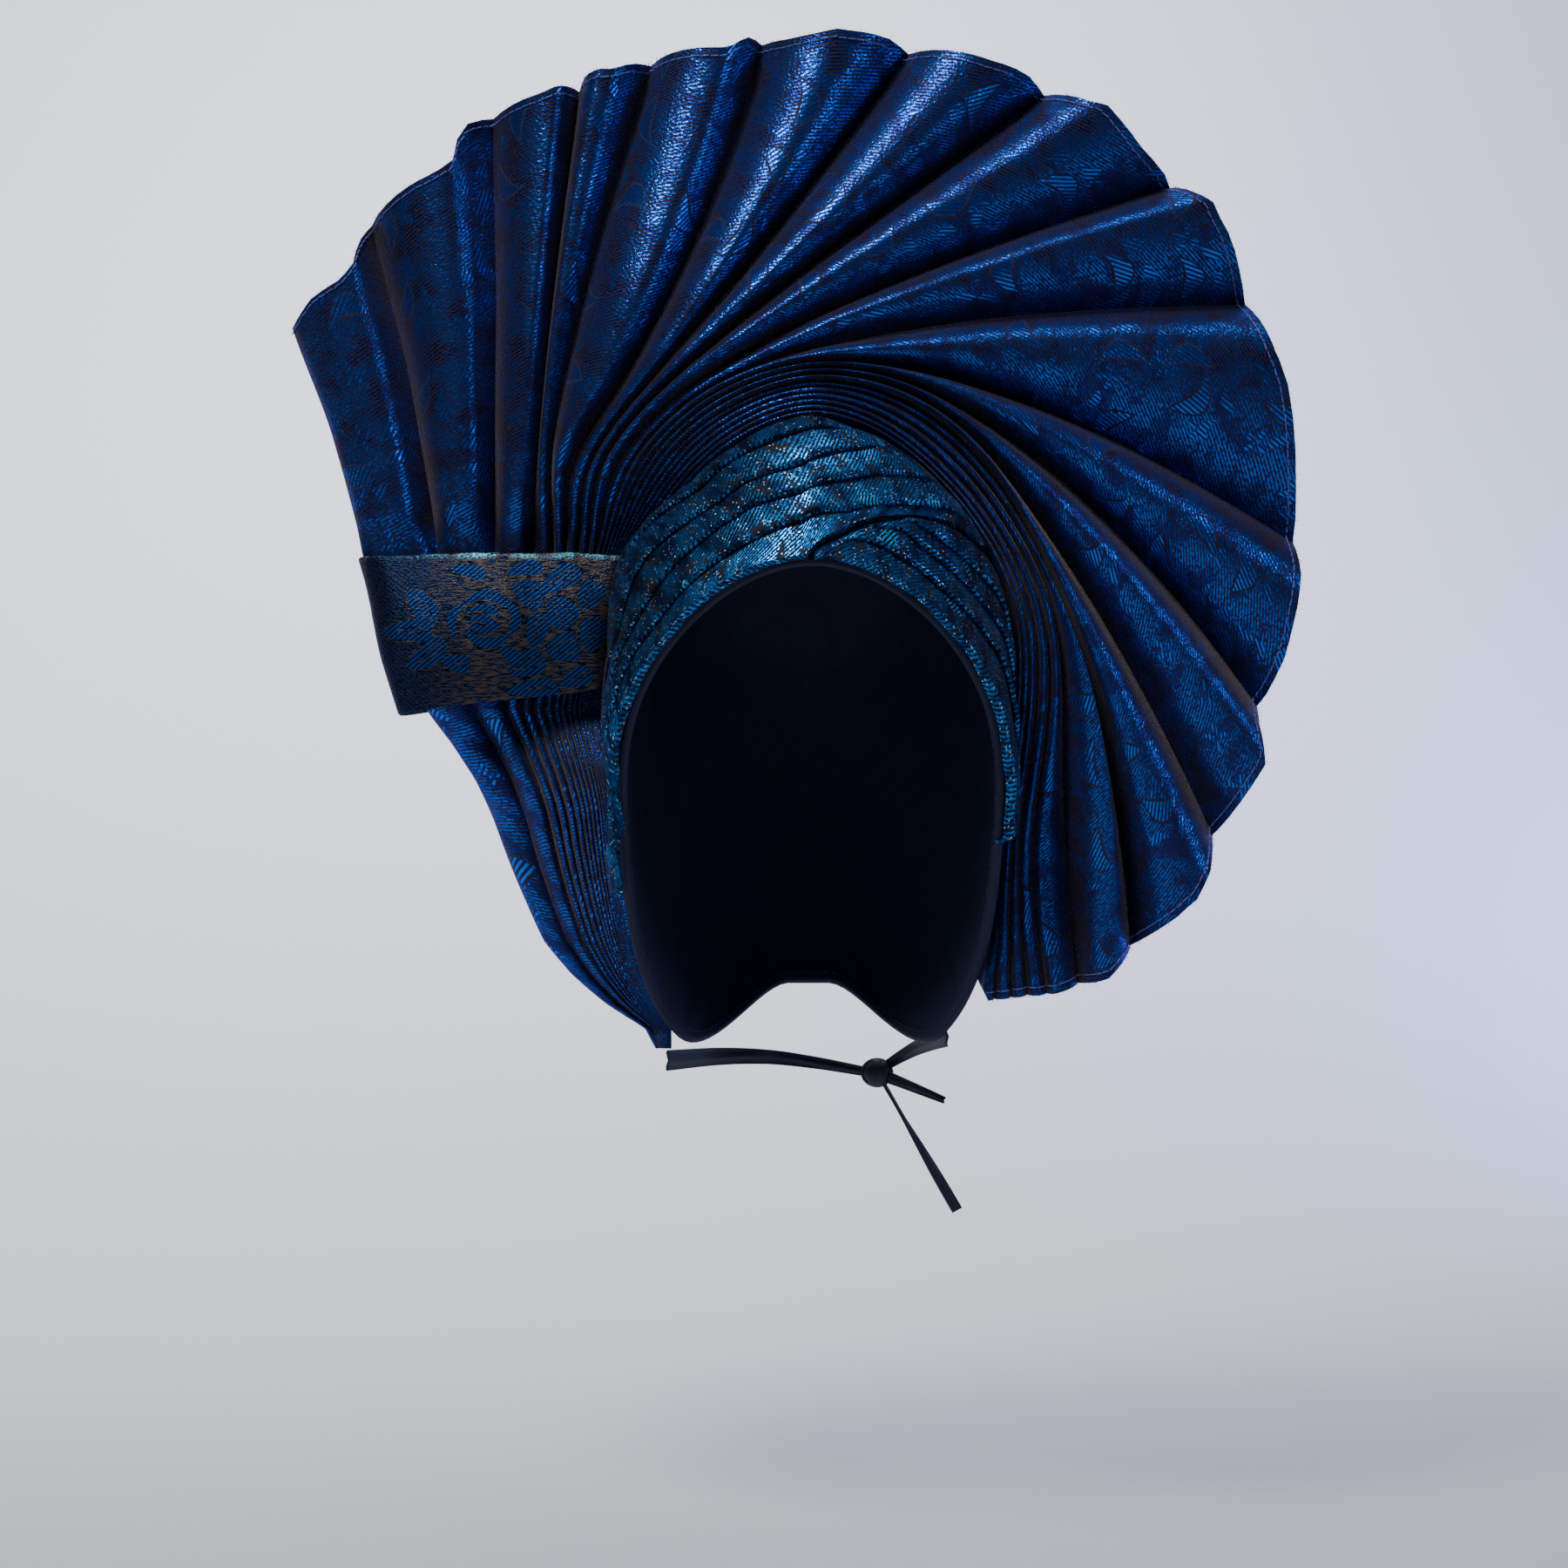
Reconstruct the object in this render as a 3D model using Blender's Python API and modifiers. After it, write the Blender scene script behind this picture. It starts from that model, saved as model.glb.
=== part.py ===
# A pre-tied head-tie of stiff brocade: a hood with its forehead wraps, and one long pleated cloth
# that runs from the nape up the left side, through a gathering band, round the crown and out to a fan.
# Metres, +Z up. The face looks along -Y and +X is on the right as seen from the front.
# The origin is the inside of the hood at the crown, where it sits on the head.

import math

import bmesh
import bpy
import numpy as np

# Hood: a deep dome whose rim oval leans back over the face.
RIM_BREADTH = 0.140
RIM_ABOVE = 0.102
RIM_BELOW = 0.116
RIM_CENTRE_Y = -0.020
HOOD_DEPTH = 0.133
HOOD_LEAN = math.radians(28.7)
HOOD_POWER = 3.3
NAPE_POWER = 1.6
HOOD_FULLNESS = 0.05
RIM_POWER_TOP = 1.9
RIM_POWER_LOW = 3.0
NECK_NOTCH = 0.045
NOTCH_START = math.radians(152)
NOTCH_SWEEP = math.radians(24)
HOOD_WALL = 0.0015

# Fan: radii are taken from a hub above the middle of the rim oval.
HUB_RISE = 0.077
FAN_REACH = 0.2160
BUNDLE_RADIUS = 0.0690
FAN_WALL = 0.0020
HEM_RELIEF = 0.0130
CROWN_RELIEF = 0.0090
BAND_RELIEF = 0.0050
NAPE_RELIEF = 0.0020
PLEAT_STEEPNESS = 0.45
FAN_LEAN = 0.0500
TUCK_DEPTH = 0.0050
SEAT_DEPTH = 0.0170
SEAT_GAP = 0.0009

# Band and the pleats below it.
BAND_HEIGHT = 0.0570
BAND_RISE = 0.0195
BAND_WALL = 0.0016
BAND_HALF_DEPTH = 0.0085
BAND_FULLNESS = 0.0020
BAND_CLEARANCE = 0.0030
BAND_Y = -0.0120
STACK_INNER = 0.0700
STACK_BREADTH = 0.0970
SIDE_INNER = 0.0770
SIDE_BREADTH = 0.0640
SIDE_DROP = 0.1310
SIDE_BACK = 0.0330
BAND_SLACK = 0.0100

# Forehead wraps.
WRAP_WALL = 0.0016
WRAP_PLEAT = 0.0026
WRAP_STEP = 0.0022
WRAP_LIP = 0.0020
WRAP_BULGE = 0.0030
WRAP_GAP = 0.0010

# Nape ties.
TIE_WIDTH = 0.0080
TIE_WALL = 0.0012
TIE_GAP = 0.0007
TIE_DROP = 0.0150
TIE_BEHIND = 0.0040
KNOT_SIZE = 0.0130
KNOT_SHAPE = np.array([1.0, 0.8, 0.9])
KNOT_SIDE = 0.0280
KNOT_GAP = 0.0006
LONG_END = 0.0640
SHORT_END = 0.0320
STRAP_WIDTHS = (1.0, 0.5)
LONG_WIDTHS = (0.7, 0.5)
SHORT_WIDTHS = (0.6, 0.15)
END_BOW = 0.06

UPPER_ROWS = 23
RING_STEP = 6.0

# The ridges of the fan, from the selvedge inwards. band and below are places across the pleats above
# and below the band, ring is the radius round the crown against the tightest full ring (0: the ridge
# rises straight to the hem), leave is the angle where it leaves that ring, hem and reach give its end,
# and dip, dip_reach and dip_place describe the valley after it. Angles are clockwise from straight up.
FOLD_COLUMNS = ("band", "below", "ring", "leave", "hem", "reach", "dip", "dip_reach", "dip_place")
FOLDS = (
    (0.143, 0.115, 0.000, -90, -55.5, 0.975, -48.9, 0.987, 0.54),
    (0.403, 0.400, 0.000, -90, -41.9, 0.973, -33.0, 0.985, 0.52),
    (0.593, 0.520, 0.000, -90, -26.6, 0.976, -24.2, 0.972, 0.50),
    (0.703, 0.590, 1.660, -60, -21.4, 0.972, -16.5, 0.962, 0.50),
    (0.757, 0.660, 1.560, -50, -9.6, 0.955, -5.0, 0.965, 0.50),
    (0.800, 0.720, 1.435, -42, 2.6, 0.972, 10.0, 0.955, 0.50),
    (0.847, 0.764, 1.379, -34, 17.3, 0.966, 24.5, 0.957, 0.50),
    (0.880, 0.800, 1.318, -28, 30.8, 0.976, 40.5, 0.944, 0.50),
    (0.905, 0.838, 1.238, -16, 45.0, 0.963, 55.0, 0.902, 0.50),
    (0.922, 0.870, 1.196, 0, 62.3, 0.902, 82.0, 0.828, 0.50),
    (0.937, 0.900, 1.168, 25, 90.0, 0.824, 102.0, 0.785, 0.50),
    (0.950, 0.922, 1.140, 45, 109.0, 0.812, 119.0, 0.784, 0.50),
    (0.961, 0.940, 1.112, 68, 127.0, 0.817, 136.0, 0.791, 0.50),
    (0.970, 0.955, 1.084, 86, 141.0, 0.797, 144.0, 0.785, 0.50),
    (0.977, 0.967, 1.056, 130, 147.0, 0.775, 148.2, 0.771, 0.50),
    (0.983, 0.977, 1.028, 132, 149.4, 0.767, 150.4, 0.763, 0.50),
    (0.989, 0.985, 1.000, 134, 151.4, 0.758, 152.4, 0.753, 0.50),
    (0.995, 0.993, 0.972, 136, 153.4, 0.748, 154.4, 0.743, 0.50),
    (1.000, 1.000, 0.944, 138, 155.4, 0.738, 156.0, 0.736, 0.50),
)
SELVEDGE = dict(band=0.0, below=0.0, ring=0.0, leave=-90, hem=-61.7, reach=1.0)

# How a ring swells along its way round the crown, for the tight inner rings and the loose outer ones.
SWELL_COLUMNS = ("degrees", "tight", "loose")
SWELL = (
    (-75, 1.04, 0.97),
    (-60, 1.00, 1.00),
    (-30, 0.99, 1.02),
    (0, 1.075, 1.055),
    (30, 1.00, 1.11),
    (50, 0.99, 1.12),
    (70, 1.05, 1.13),
    (90, 1.17, 1.30),
    (110, 1.26, 1.45),
    (130, 1.46, 1.60),
    (145, 1.88, 1.72),
)

# How far the fan stands forward of the rim oval's middle, as shares of its lean, at crown and hem.
STAND_COLUMNS = ("degrees", "crown", "hem")
STAND = (
    (-80, -0.24, -0.20),
    (-60, -0.52, -0.26),
    (-30, -0.84, -0.44),
    (0, -0.96, -0.54),
    (30, -0.88, -0.50),
    (60, -0.70, -0.34),
    (90, -0.46, -0.16),
    (120, -0.16, 0.02),
    (145, 0.14, 0.18),
    (160, 0.40, 0.30),
)

# The pleats below the band: width as a share of the side's breadth and the outer edge's set-back, by drop.
SIDE_COLUMNS = ("drop", "width", "back")
SIDE = (
    (0.00, 1.000, 0.00),
    (0.10, 0.910, 0.55),
    (0.20, 0.830, 0.85),
    (0.33, 0.750, 0.95),
    (0.45, 0.670, 0.72),
    (0.57, 0.590, 0.52),
    (0.68, 0.530, 0.42),
    (0.78, 0.420, 0.30),
    (0.87, 0.290, 0.18),
    (0.94, 0.160, 0.08),
    (1.00, 0.095, 0.04),
)
SIDE_MEETS_RIM = 0.30

# The border between wraps and fan: reach against the bundle's radius, how far it stands forward.
BORDER_COLUMNS = ("degrees", "reach", "forward")
BORDER = (
    (-132, 1.420, -0.60),
    (-120, 1.270, -0.58),
    (-103, 1.095, -0.56),
    (-74, 1.030, -0.56),
    (-62, 0.960, -0.63),
    (-45, 0.885, -0.78),
    (-26, 0.890, -0.94),
    (-10, 0.920, -1.05),
    (0, 0.945, -1.07),
    (14, 0.900, -1.04),
    (34, 0.888, -0.96),
    (50, 0.900, -0.84),
    (62, 0.930, -0.72),
    (72, 0.965, -0.60),
    (84, 1.020, -0.47),
    (98, 1.082, -0.34),
    (113, 1.172, -0.22),
    (126, 1.300, -0.12),
)

# Where the over wrap's lower edge leaves the rim and climbs to the border, by degrees.
LAP_COLUMNS = ("degrees", "lift")
LAP = ((-10, 0.00), (26, 0.19), (44, 0.42), (51, 0.56), (59, 0.73), (65, 0.84), (70, 0.93), (76, 1.00))

# Sections across the wraps: the angle at the lower edge and at the border.
SECTION_COLUMNS = ("lower", "upper")
OVER_SECTIONS = (
    (-131.5, -129.0),
    (-123.4, -120.0),
    (-110.6, -102.6),
    (-92.6, -74.0),
    (-66.4, -47.0),
    (-42.0, -26.0),
    (-9.5, -2.0),
    (26.0, 14.0),
    (43.6, 25.0),
    (50.8, 34.5),
    (58.7, 47.0),
    (65.5, 62.0),
    (71.0, 71.0),
)
UNDER_SECTIONS = (
    (2.0, 4.0),
    (44.0, 38.4),
    (70.4, 56.5),
    (91.0, 71.4),
    (101.0, 87.4),
    (112.0, 101.0),
    (120.0, 114.0),
    (125.0, 123.0),
)
# Where each pleat of a wrap starts across it, at its two ends and halfway.
PLEAT_COLUMNS = ("start", "middle", "end")
OVER_PLEATS = ((0.0, 0.0, 0.0), (0.30, 0.28, 0.42), (0.52, 0.49, 0.80), (0.74, 0.73, 0.92))
UNDER_PLEATS = ((0.0, 0.0, 0.0), (0.60, 0.30, 0.25), (0.76, 0.54, 0.50), (0.90, 0.77, 0.75))

# Finishes: colour, metallic, roughness.
BROCADE = ((0.010, 0.030, 0.160), 0.35, 0.38)
GLITTER_BROCADE = ((0.020, 0.110, 0.360), 0.40, 0.34)
LINING = ((0.006, 0.010, 0.035), 0.00, 0.80)
TAPE = ((0.030, 0.060, 0.200), 0.10, 0.60)


def column(table, columns, name):
    return np.array([row[columns.index(name)] for row in table], float)


def lookup(table, columns, name, at):
    return np.interp(at, column(table, columns, columns[0]), column(table, columns, name))


def smooth(share):
    share = np.clip(share, 0.0, 1.0)
    return share * share * (3 - 2 * share)


def crown_rise():
    """Height of the hood's inside above the middle of its rim oval, straight over the origin."""
    along = np.linspace(0.0, 1.0, 400)
    up = (RIM_ABOVE - HOOD_WALL) * (1 - along**HOOD_POWER) ** (1 / HOOD_POWER)
    back = (HOOD_DEPTH - HOOD_WALL) * along
    y = RIM_CENTRE_Y - up * math.sin(HOOD_LEAN) + back * math.cos(HOOD_LEAN)
    return float(np.interp(0.0, y, up * math.cos(HOOD_LEAN) + back * math.sin(HOOD_LEAN)))


RIM_CENTRE = np.array([0.0, RIM_CENTRE_Y, -crown_rise()])
HUB_Z = RIM_CENTRE[2] + HUB_RISE
RIM_UP = np.array([0.0, -math.sin(HOOD_LEAN), math.cos(HOOD_LEAN)])
RIM_BACK = np.array([0.0, math.cos(HOOD_LEAN), math.sin(HOOD_LEAN)])
BAND_TOP_Z = HUB_Z + BAND_RISE
BAND_LOW_Z = BAND_TOP_Z - BAND_HEIGHT


def hood_point(turn, depth):
    """Outer face of the hood. turn is the angle round the rim oval, depth runs from rim to pole, 0 to 1."""
    side, up = math.sin(turn), math.cos(turn)
    above = RIM_ABOVE if up >= 0 else RIM_BELOW
    power = RIM_POWER_TOP + (RIM_POWER_LOW - RIM_POWER_TOP) * (1 - up) / 2
    oval = (abs(side / (RIM_BREADTH / 2)) ** power + abs(up / above) ** power) ** (-1 / power)
    notch = NECK_NOTCH / HOOD_DEPTH * float(smooth((abs(turn) - NOTCH_START) / NOTCH_SWEEP))
    along = notch + (1 - notch) * depth
    dome = HOOD_POWER + (NAPE_POWER - HOOD_POWER) * float(smooth((1 - up) / 2))
    shrink = max(0.0, 1 - along**dome) ** (1 / dome)
    full = 1 + HOOD_FULLNESS * math.sin(math.pi * along)
    place = RIM_CENTRE + RIM_UP * (up * oval * shrink) + RIM_BACK * (HOOD_DEPTH * along)
    return place + np.array([side * oval * shrink * full, 0.0, 0.0])


def hood_normal(turn, depth):
    step = 0.01
    across = hood_point(turn + step, depth) - hood_point(turn - step, depth)
    along = hood_point(turn, depth + step) - hood_point(turn, max(depth - step, 0.0))
    normal = np.cross(across, along)
    return normal / np.linalg.norm(normal)


def hood_turns(depth):
    """Angles seen from the hub, with the rim angle of each, for a level of the hood."""
    turns = np.radians(np.arange(-178, 178.1, 2.0))
    places = np.array([hood_point(turn, depth) for turn in turns])
    seen = np.degrees(np.arctan2(places[:, 0], places[:, 2] - HUB_Z))
    return seen, turns


RIM_SEEN, RIM_TURNS = hood_turns(0.0)
SEAT_LEVEL = SEAT_DEPTH / HOOD_DEPTH
SEAT_SEEN, SEAT_TURNS = hood_turns(SEAT_LEVEL)


def rim_edge(degrees):
    """Where a wrap's face edge lies: on the rim, a lip's width in front of it."""
    turn = float(np.interp(degrees, RIM_SEEN, RIM_TURNS))
    return hood_point(turn, 0.0) + hood_normal(turn, 0.0) * SEAT_GAP - RIM_BACK * WRAP_LIP


def rim_side(z):
    """The rim's left side at a height."""
    turns = np.radians(np.arange(-151, -59, 1.0))
    places = np.array([hood_point(turn, 0.0) for turn in turns])
    turn = float(np.interp(z, places[:, 2], turns))
    return hood_point(turn, 0.0) + np.array([-SEAT_GAP, 0.0, 0.0])


def seat_edge(degrees):
    """Front corner of the fan's inner edge, whose back corner rests on the hood."""
    turn = float(np.interp(degrees, SEAT_SEEN, SEAT_TURNS))
    corner = hood_point(turn, SEAT_LEVEL) + hood_normal(turn, SEAT_LEVEL) * SEAT_GAP
    return corner - np.array([0.0, FAN_WALL, 0.0])


def ring_point(ring, degrees):
    loose = np.clip((ring - 1.0) / 0.17, 0.0, 1.0)
    tight_swell = lookup(SWELL, SWELL_COLUMNS, "tight", degrees)
    loose_swell = lookup(SWELL, SWELL_COLUMNS, "loose", degrees)
    radius = BUNDLE_RADIUS * ring * (tight_swell + (loose_swell - tight_swell) * loose)
    turn = math.radians(degrees)
    return np.array([radius * math.sin(turn), HUB_Z + radius * math.cos(turn)])


def evenly(line, shares):
    """Points of a line at shares of its length."""
    run = np.concatenate([[0.0], np.cumsum(np.linalg.norm(np.diff(line, axis=0), axis=1))])
    return np.column_stack([np.interp(np.asarray(shares) * run[-1], run, part) for part in line.T])


def eased(line, passes):
    for _ in range(passes):
        line[1:-1] = (line[:-2] + 2 * line[1:-1] + line[2:]) / 4
    return line


def fold_line(fold):
    """One fold from the band's top round the crown to the hem, in x and z."""
    start = np.array([-STACK_INNER - STACK_BREADTH * (1 - fold["band"]), BAND_TOP_Z])
    turn = math.radians(fold["hem"])
    reach = fold["reach"] * FAN_REACH
    hem = np.array([math.sin(turn) * reach, HUB_Z + math.cos(turn) * reach])
    points = [start]
    if fold["ring"]:
        stations = np.arange(-60.0, fold["leave"] + 0.1, RING_STEP)
        points += [ring_point(fold["ring"], station) for station in stations]
    if len(points) > 2:
        heading = points[-1] - points[-2]
    else:
        heading = (hem - start) / np.linalg.norm(hem - start) + np.array([0.0, 0.3])
    heading = heading / np.linalg.norm(heading)
    bend = points[-1] + heading * np.linalg.norm(hem - points[-1]) * 0.4
    t = np.linspace(0, 1, 24)[1:, None]
    tail = (1 - t) ** 2 * points[-1] + 2 * t * (1 - t) * bend + t**2 * hem
    line = evenly(np.array(points + list(tail)), np.linspace(0, 1, 90))
    return eased(line, 24)


def fold_rows():
    """Ridges and valleys in order across the cloth, each a dict with its side of the relief."""
    ridges = [dict(zip(FOLD_COLUMNS, row)) for row in FOLDS]
    folds = [dict(SELVEDGE, side=0.0)]
    for ridge, after in zip(ridges, ridges[1:] + [None]):
        folds.append(dict(ridge, side=1.0))
        if after is None:
            continue
        place = ridge["dip_place"]
        dip = {name: ridge[name] + (after[name] - ridge[name]) * place for name in FOLD_COLUMNS[:4]}
        if not ridge["ring"]:
            dip["ring"] = 0.0
        folds.append(dict(dip, hem=ridge["dip"], reach=ridge["dip_reach"], side=-1.0))
    return folds


def hem_reach_at(degrees, folds):
    return np.interp(degrees, [f["hem"] for f in folds], [f["reach"] for f in folds]) * FAN_REACH


def stand(points, folds):
    """Depth of the fan's middle surface at points in x and z, above the band."""
    radius = np.hypot(points[:, 0], points[:, 1] - HUB_Z)
    degrees = np.degrees(np.arctan2(points[:, 0], points[:, 1] - HUB_Z))
    crown = lookup(STAND, STAND_COLUMNS, "crown", degrees)
    hem = lookup(STAND, STAND_COLUMNS, "hem", degrees)
    reach = hem_reach_at(degrees, folds)
    share = smooth((radius - BUNDLE_RADIUS) / (reach - BUNDLE_RADIUS))
    return FAN_LEAN * (crown + (hem - crown) * share)


def side_row(drop, folds):
    """The pleats below the band at one height: x and y of each fold."""
    z = BAND_LOW_Z - SIDE_DROP * drop
    rim = rim_side(z)
    meets = float(smooth(drop / SIDE_MEETS_RIM))
    inner_x = -SIDE_INNER + (rim[0] + SIDE_INNER) * meets
    inner_y = BAND_Y + (rim[1] - BAND_Y) * meets
    width = SIDE_BREADTH * lookup(SIDE, SIDE_COLUMNS, "width", drop)
    back = SIDE_BACK * lookup(SIDE, SIDE_COLUMNS, "back", drop)
    below = np.array([fold["below"] for fold in folds])
    x = inner_x - width * (1.04 - below)
    y = inner_y + back * (1 - below)
    seat = np.array([inner_x, inner_y, z])
    return np.column_stack([x, y, np.full(len(folds), z)]), seat


def fan_grid():
    """The cloth's front face: rows from nape to hem, columns from selvedge to the seat on the hood."""
    folds = fold_rows()
    rows, seats, relief = [], [], []
    for drop in column(SIDE, SIDE_COLUMNS, "drop")[::-1]:
        row, seat = side_row(drop, folds)
        rows.append(row)
        seats.append(seat)
        relief.append(BAND_RELIEF + (NAPE_RELIEF - BAND_RELIEF) * drop)
    shares = np.linspace(0, 1, UPPER_ROWS) ** 1.12
    lines = np.array([evenly(fold_line(fold), shares) for fold in folds])
    for index, share in enumerate(shares):
        flat = lines[:, index]
        y = BAND_Y + (stand(flat, folds) - BAND_Y) * smooth(share / 0.14)
        rows.append(np.column_stack([flat[:, 0], y, flat[:, 1]]))
        inner = flat[-1]
        degrees = math.degrees(math.atan2(inner[0], inner[1] - HUB_Z))
        if index == 0:
            seats.append(np.array([inner[0] + 0.0018, BAND_Y, inner[1]]))
        else:
            seats.append(seat_edge(degrees))
        crown = BAND_RELIEF + (CROWN_RELIEF - BAND_RELIEF) * smooth(share / 0.2)
        relief.append(crown + (HEM_RELIEF - CROWN_RELIEF) * smooth((share - 0.4) / 0.6))
    return np.array(rows), np.array(seats), np.array(relief), folds


def fan_faces():
    rows, seats, relief, folds = fan_grid()
    side = np.array([fold["side"] for fold in folds])
    near = np.linalg.norm(np.diff(rows[:, :, [0, 2]], axis=1), axis=2)
    left = np.concatenate([near[:, :1], near], axis=1)
    right = np.concatenate([near, near[:, -1:]], axis=1)
    spare = np.minimum(left, right)
    height = np.minimum(relief[:, None] / 2, PLEAT_STEEPNESS * spare)
    front = rows.copy()
    front[:, :, 1] -= side * height
    tuck = front[:, -1] + (seats - front[:, -1]) * 0.12
    tuck[:, 1] = rows[:, -1, 1] + TUCK_DEPTH * smooth(np.linalg.norm(seats - rows[:, -1], axis=1) / 0.02)
    front = np.concatenate([front, tuck[:, None], seats[:, None]], axis=1)
    return front, front + np.array([0.0, FAN_WALL, 0.0])


def brow_point(degrees, share):
    """The surface that the forehead wraps lie on, from the rim (0) to the fan's border (1)."""
    low = rim_edge(degrees)
    reach = lookup(BORDER, BORDER_COLUMNS, "reach", degrees) * BUNDLE_RADIUS
    forward = lookup(BORDER, BORDER_COLUMNS, "forward", degrees) * FAN_LEAN
    turn = math.radians(degrees)
    high = np.array([math.sin(turn) * reach, forward, HUB_Z + math.cos(turn) * reach])
    place = low + (high - low) * share
    middle = high + low - 2 * RIM_CENTRE
    outward = middle / np.linalg.norm(middle) - np.array([0.0, 0.5, 0.0])
    return place + outward / np.linalg.norm(outward) * WRAP_BULGE * math.sin(math.pi * share)


def between(rows, count):
    """Smooth rows between the sections of a table."""
    rows = np.array(rows, float)
    at = np.linspace(0, len(rows) - 1, count)
    padded = np.vstack([2 * rows[0] - rows[1], rows, 2 * rows[-1] - rows[-2]])
    out = []
    for value in at:
        k = min(int(value), len(rows) - 2)
        t = value - k
        a, b, c, d = padded[k : k + 4]
        cubic = 2 * b + (c - a) * t + (2 * a - 5 * b + 4 * c - d) * t**2 + (3 * b - a - 3 * c + d) * t**3
        out.append(cubic / 2)
    return np.array(out)


def pleat_places(pleats, along, step):
    """Places across a wrap with the height of its knife pleats at each."""
    edges = [np.interp(along, (0, 0.5, 1), row) for row in pleats] + [1.0]
    places = []
    for low, high in zip(edges, edges[1:]):
        narrow = min(step, 0.4 * (high - low))
        places += [(low, 1.0), (high - narrow, 0.0)]
    return places + [(1.0, 0.0)]


def wrap_faces(sections, pleats, count, lower_share, upper_share):
    base, heights = [], []
    for index, (lower, upper) in enumerate(between(sections, count)):
        start, stop = lower_share(lower), upper_share(upper)
        width = np.linalg.norm(brow_point(upper, stop) - brow_point(lower, start))
        places = pleat_places(pleats, index / (count - 1), WRAP_STEP / width)
        line = []
        for place, _ in places:
            degrees = lower + (upper - lower) * place
            line.append(brow_point(degrees, start + (stop - start) * place))
        base.append(line)
        fade = min(1.0, width / (len(pleats) * 2.5 * WRAP_STEP))
        heights.append([height * WRAP_PLEAT * fade for _, height in places])
    base, heights = np.array(base), np.array(heights)
    across = np.gradient(base, axis=1)
    along = np.gradient(base, axis=0)
    normal = np.cross(along, across)
    normal /= np.linalg.norm(normal, axis=2, keepdims=True)
    normal *= -math.copysign(1.0, normal[..., 1].mean())
    inner = base + normal * heights[..., None]
    return inner + normal * WRAP_WALL, inner


def lap_lift(degrees):
    return float(lookup(LAP, LAP_COLUMNS, "lift", degrees))


def under_limit(degrees):
    """The under wrap stops short of the over wrap's edge, and at the border past it."""
    low, high = brow_point(degrees, 0.0), brow_point(degrees, 1.0)
    spare = 1.6 * WRAP_GAP / np.linalg.norm(high - low)
    return max(0.06, lap_lift(degrees) - spare)


def material(name, finish):
    colour, metallic, roughness = finish
    made = bpy.data.materials.new(name)
    made.use_nodes = True
    shader = made.node_tree.nodes["Principled BSDF"]
    shader.inputs["Base Color"].default_value = (*colour, 1.0)
    shader.inputs["Metallic"].default_value = metallic
    shader.inputs["Roughness"].default_value = roughness
    made.diffuse_color = (*colour, 1.0)
    return made


def finish_object(name, mesh, collection, finish):
    made = bpy.data.objects.new(name, mesh)
    made.data.materials.append(material(name + "_cloth", finish))
    collection.objects.link(made)
    return made


def cloth_solid(name, front, back, collection, finish, loop=False):
    """Closes two faces of a cloth, given as matching grids, into one solid. A loop joins its columns."""
    rows, columns = front.shape[:2]
    mesh_maker = bmesh.new()
    faces = [
        [[mesh_maker.verts.new(place) for place in line] for line in grid] for grid in (front, back)
    ]
    spans = columns if loop else columns - 1
    for i in range(rows - 1):
        for j in range(spans):
            k = (j + 1) % columns
            one, two = faces
            mesh_maker.faces.new((one[i][j], one[i][k], one[i + 1][k], one[i + 1][j]))
            mesh_maker.faces.new((two[i][j], two[i + 1][j], two[i + 1][k], two[i][k]))
    for i in (0, rows - 1):
        for j in range(spans):
            k = (j + 1) % columns
            edge = (faces[0][i][j], faces[1][i][j], faces[1][i][k], faces[0][i][k])
            mesh_maker.faces.new(edge if i == 0 else edge[::-1])
    if not loop:
        for j in (0, columns - 1):
            for i in range(rows - 1):
                edge = (faces[0][i][j], faces[0][i + 1][j], faces[1][i + 1][j], faces[1][i][j])
                mesh_maker.faces.new(edge if j == 0 else edge[::-1])
    bmesh.ops.triangulate(mesh_maker, faces=mesh_maker.faces)
    bmesh.ops.recalc_face_normals(mesh_maker, faces=mesh_maker.faces)
    mesh = bpy.data.meshes.new(name)
    mesh_maker.to_mesh(mesh)
    mesh_maker.free()
    mesh.shade_smooth()
    mesh.set_sharp_from_angle(angle=math.radians(40))
    return finish_object(name, mesh, collection, finish)


def make_hood(collection):
    levels = (0.0, 0.05, 0.13, 0.24, 0.38, 0.54, 0.70, 0.83, 0.92, 0.975)
    turns = np.radians(np.arange(0, 360, 9.0))
    turns = np.where(turns > math.pi, turns - 2 * math.pi, turns)
    mesh_maker = bmesh.new()
    rings = [[mesh_maker.verts.new(hood_point(turn, level)) for turn in turns] for level in levels]
    pole = mesh_maker.verts.new(hood_point(0.0, 1.0))
    for low, high in zip(rings, rings[1:]):
        for j in range(len(turns)):
            k = (j + 1) % len(turns)
            mesh_maker.faces.new((low[j], low[k], high[k], high[j]))
    for j in range(len(turns)):
        mesh_maker.faces.new((rings[-1][j], rings[-1][(j + 1) % len(turns)], pole))
    bmesh.ops.recalc_face_normals(mesh_maker, faces=mesh_maker.faces)
    mesh = bpy.data.meshes.new("cap_shell")
    mesh_maker.to_mesh(mesh)
    mesh_maker.free()
    mesh.shade_smooth()
    hood = finish_object("cap_shell", mesh, collection, LINING)
    wall = hood.modifiers.new("wall", "SOLIDIFY")
    wall.thickness = HOOD_WALL
    wall.offset = -1.0
    return hood


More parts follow.
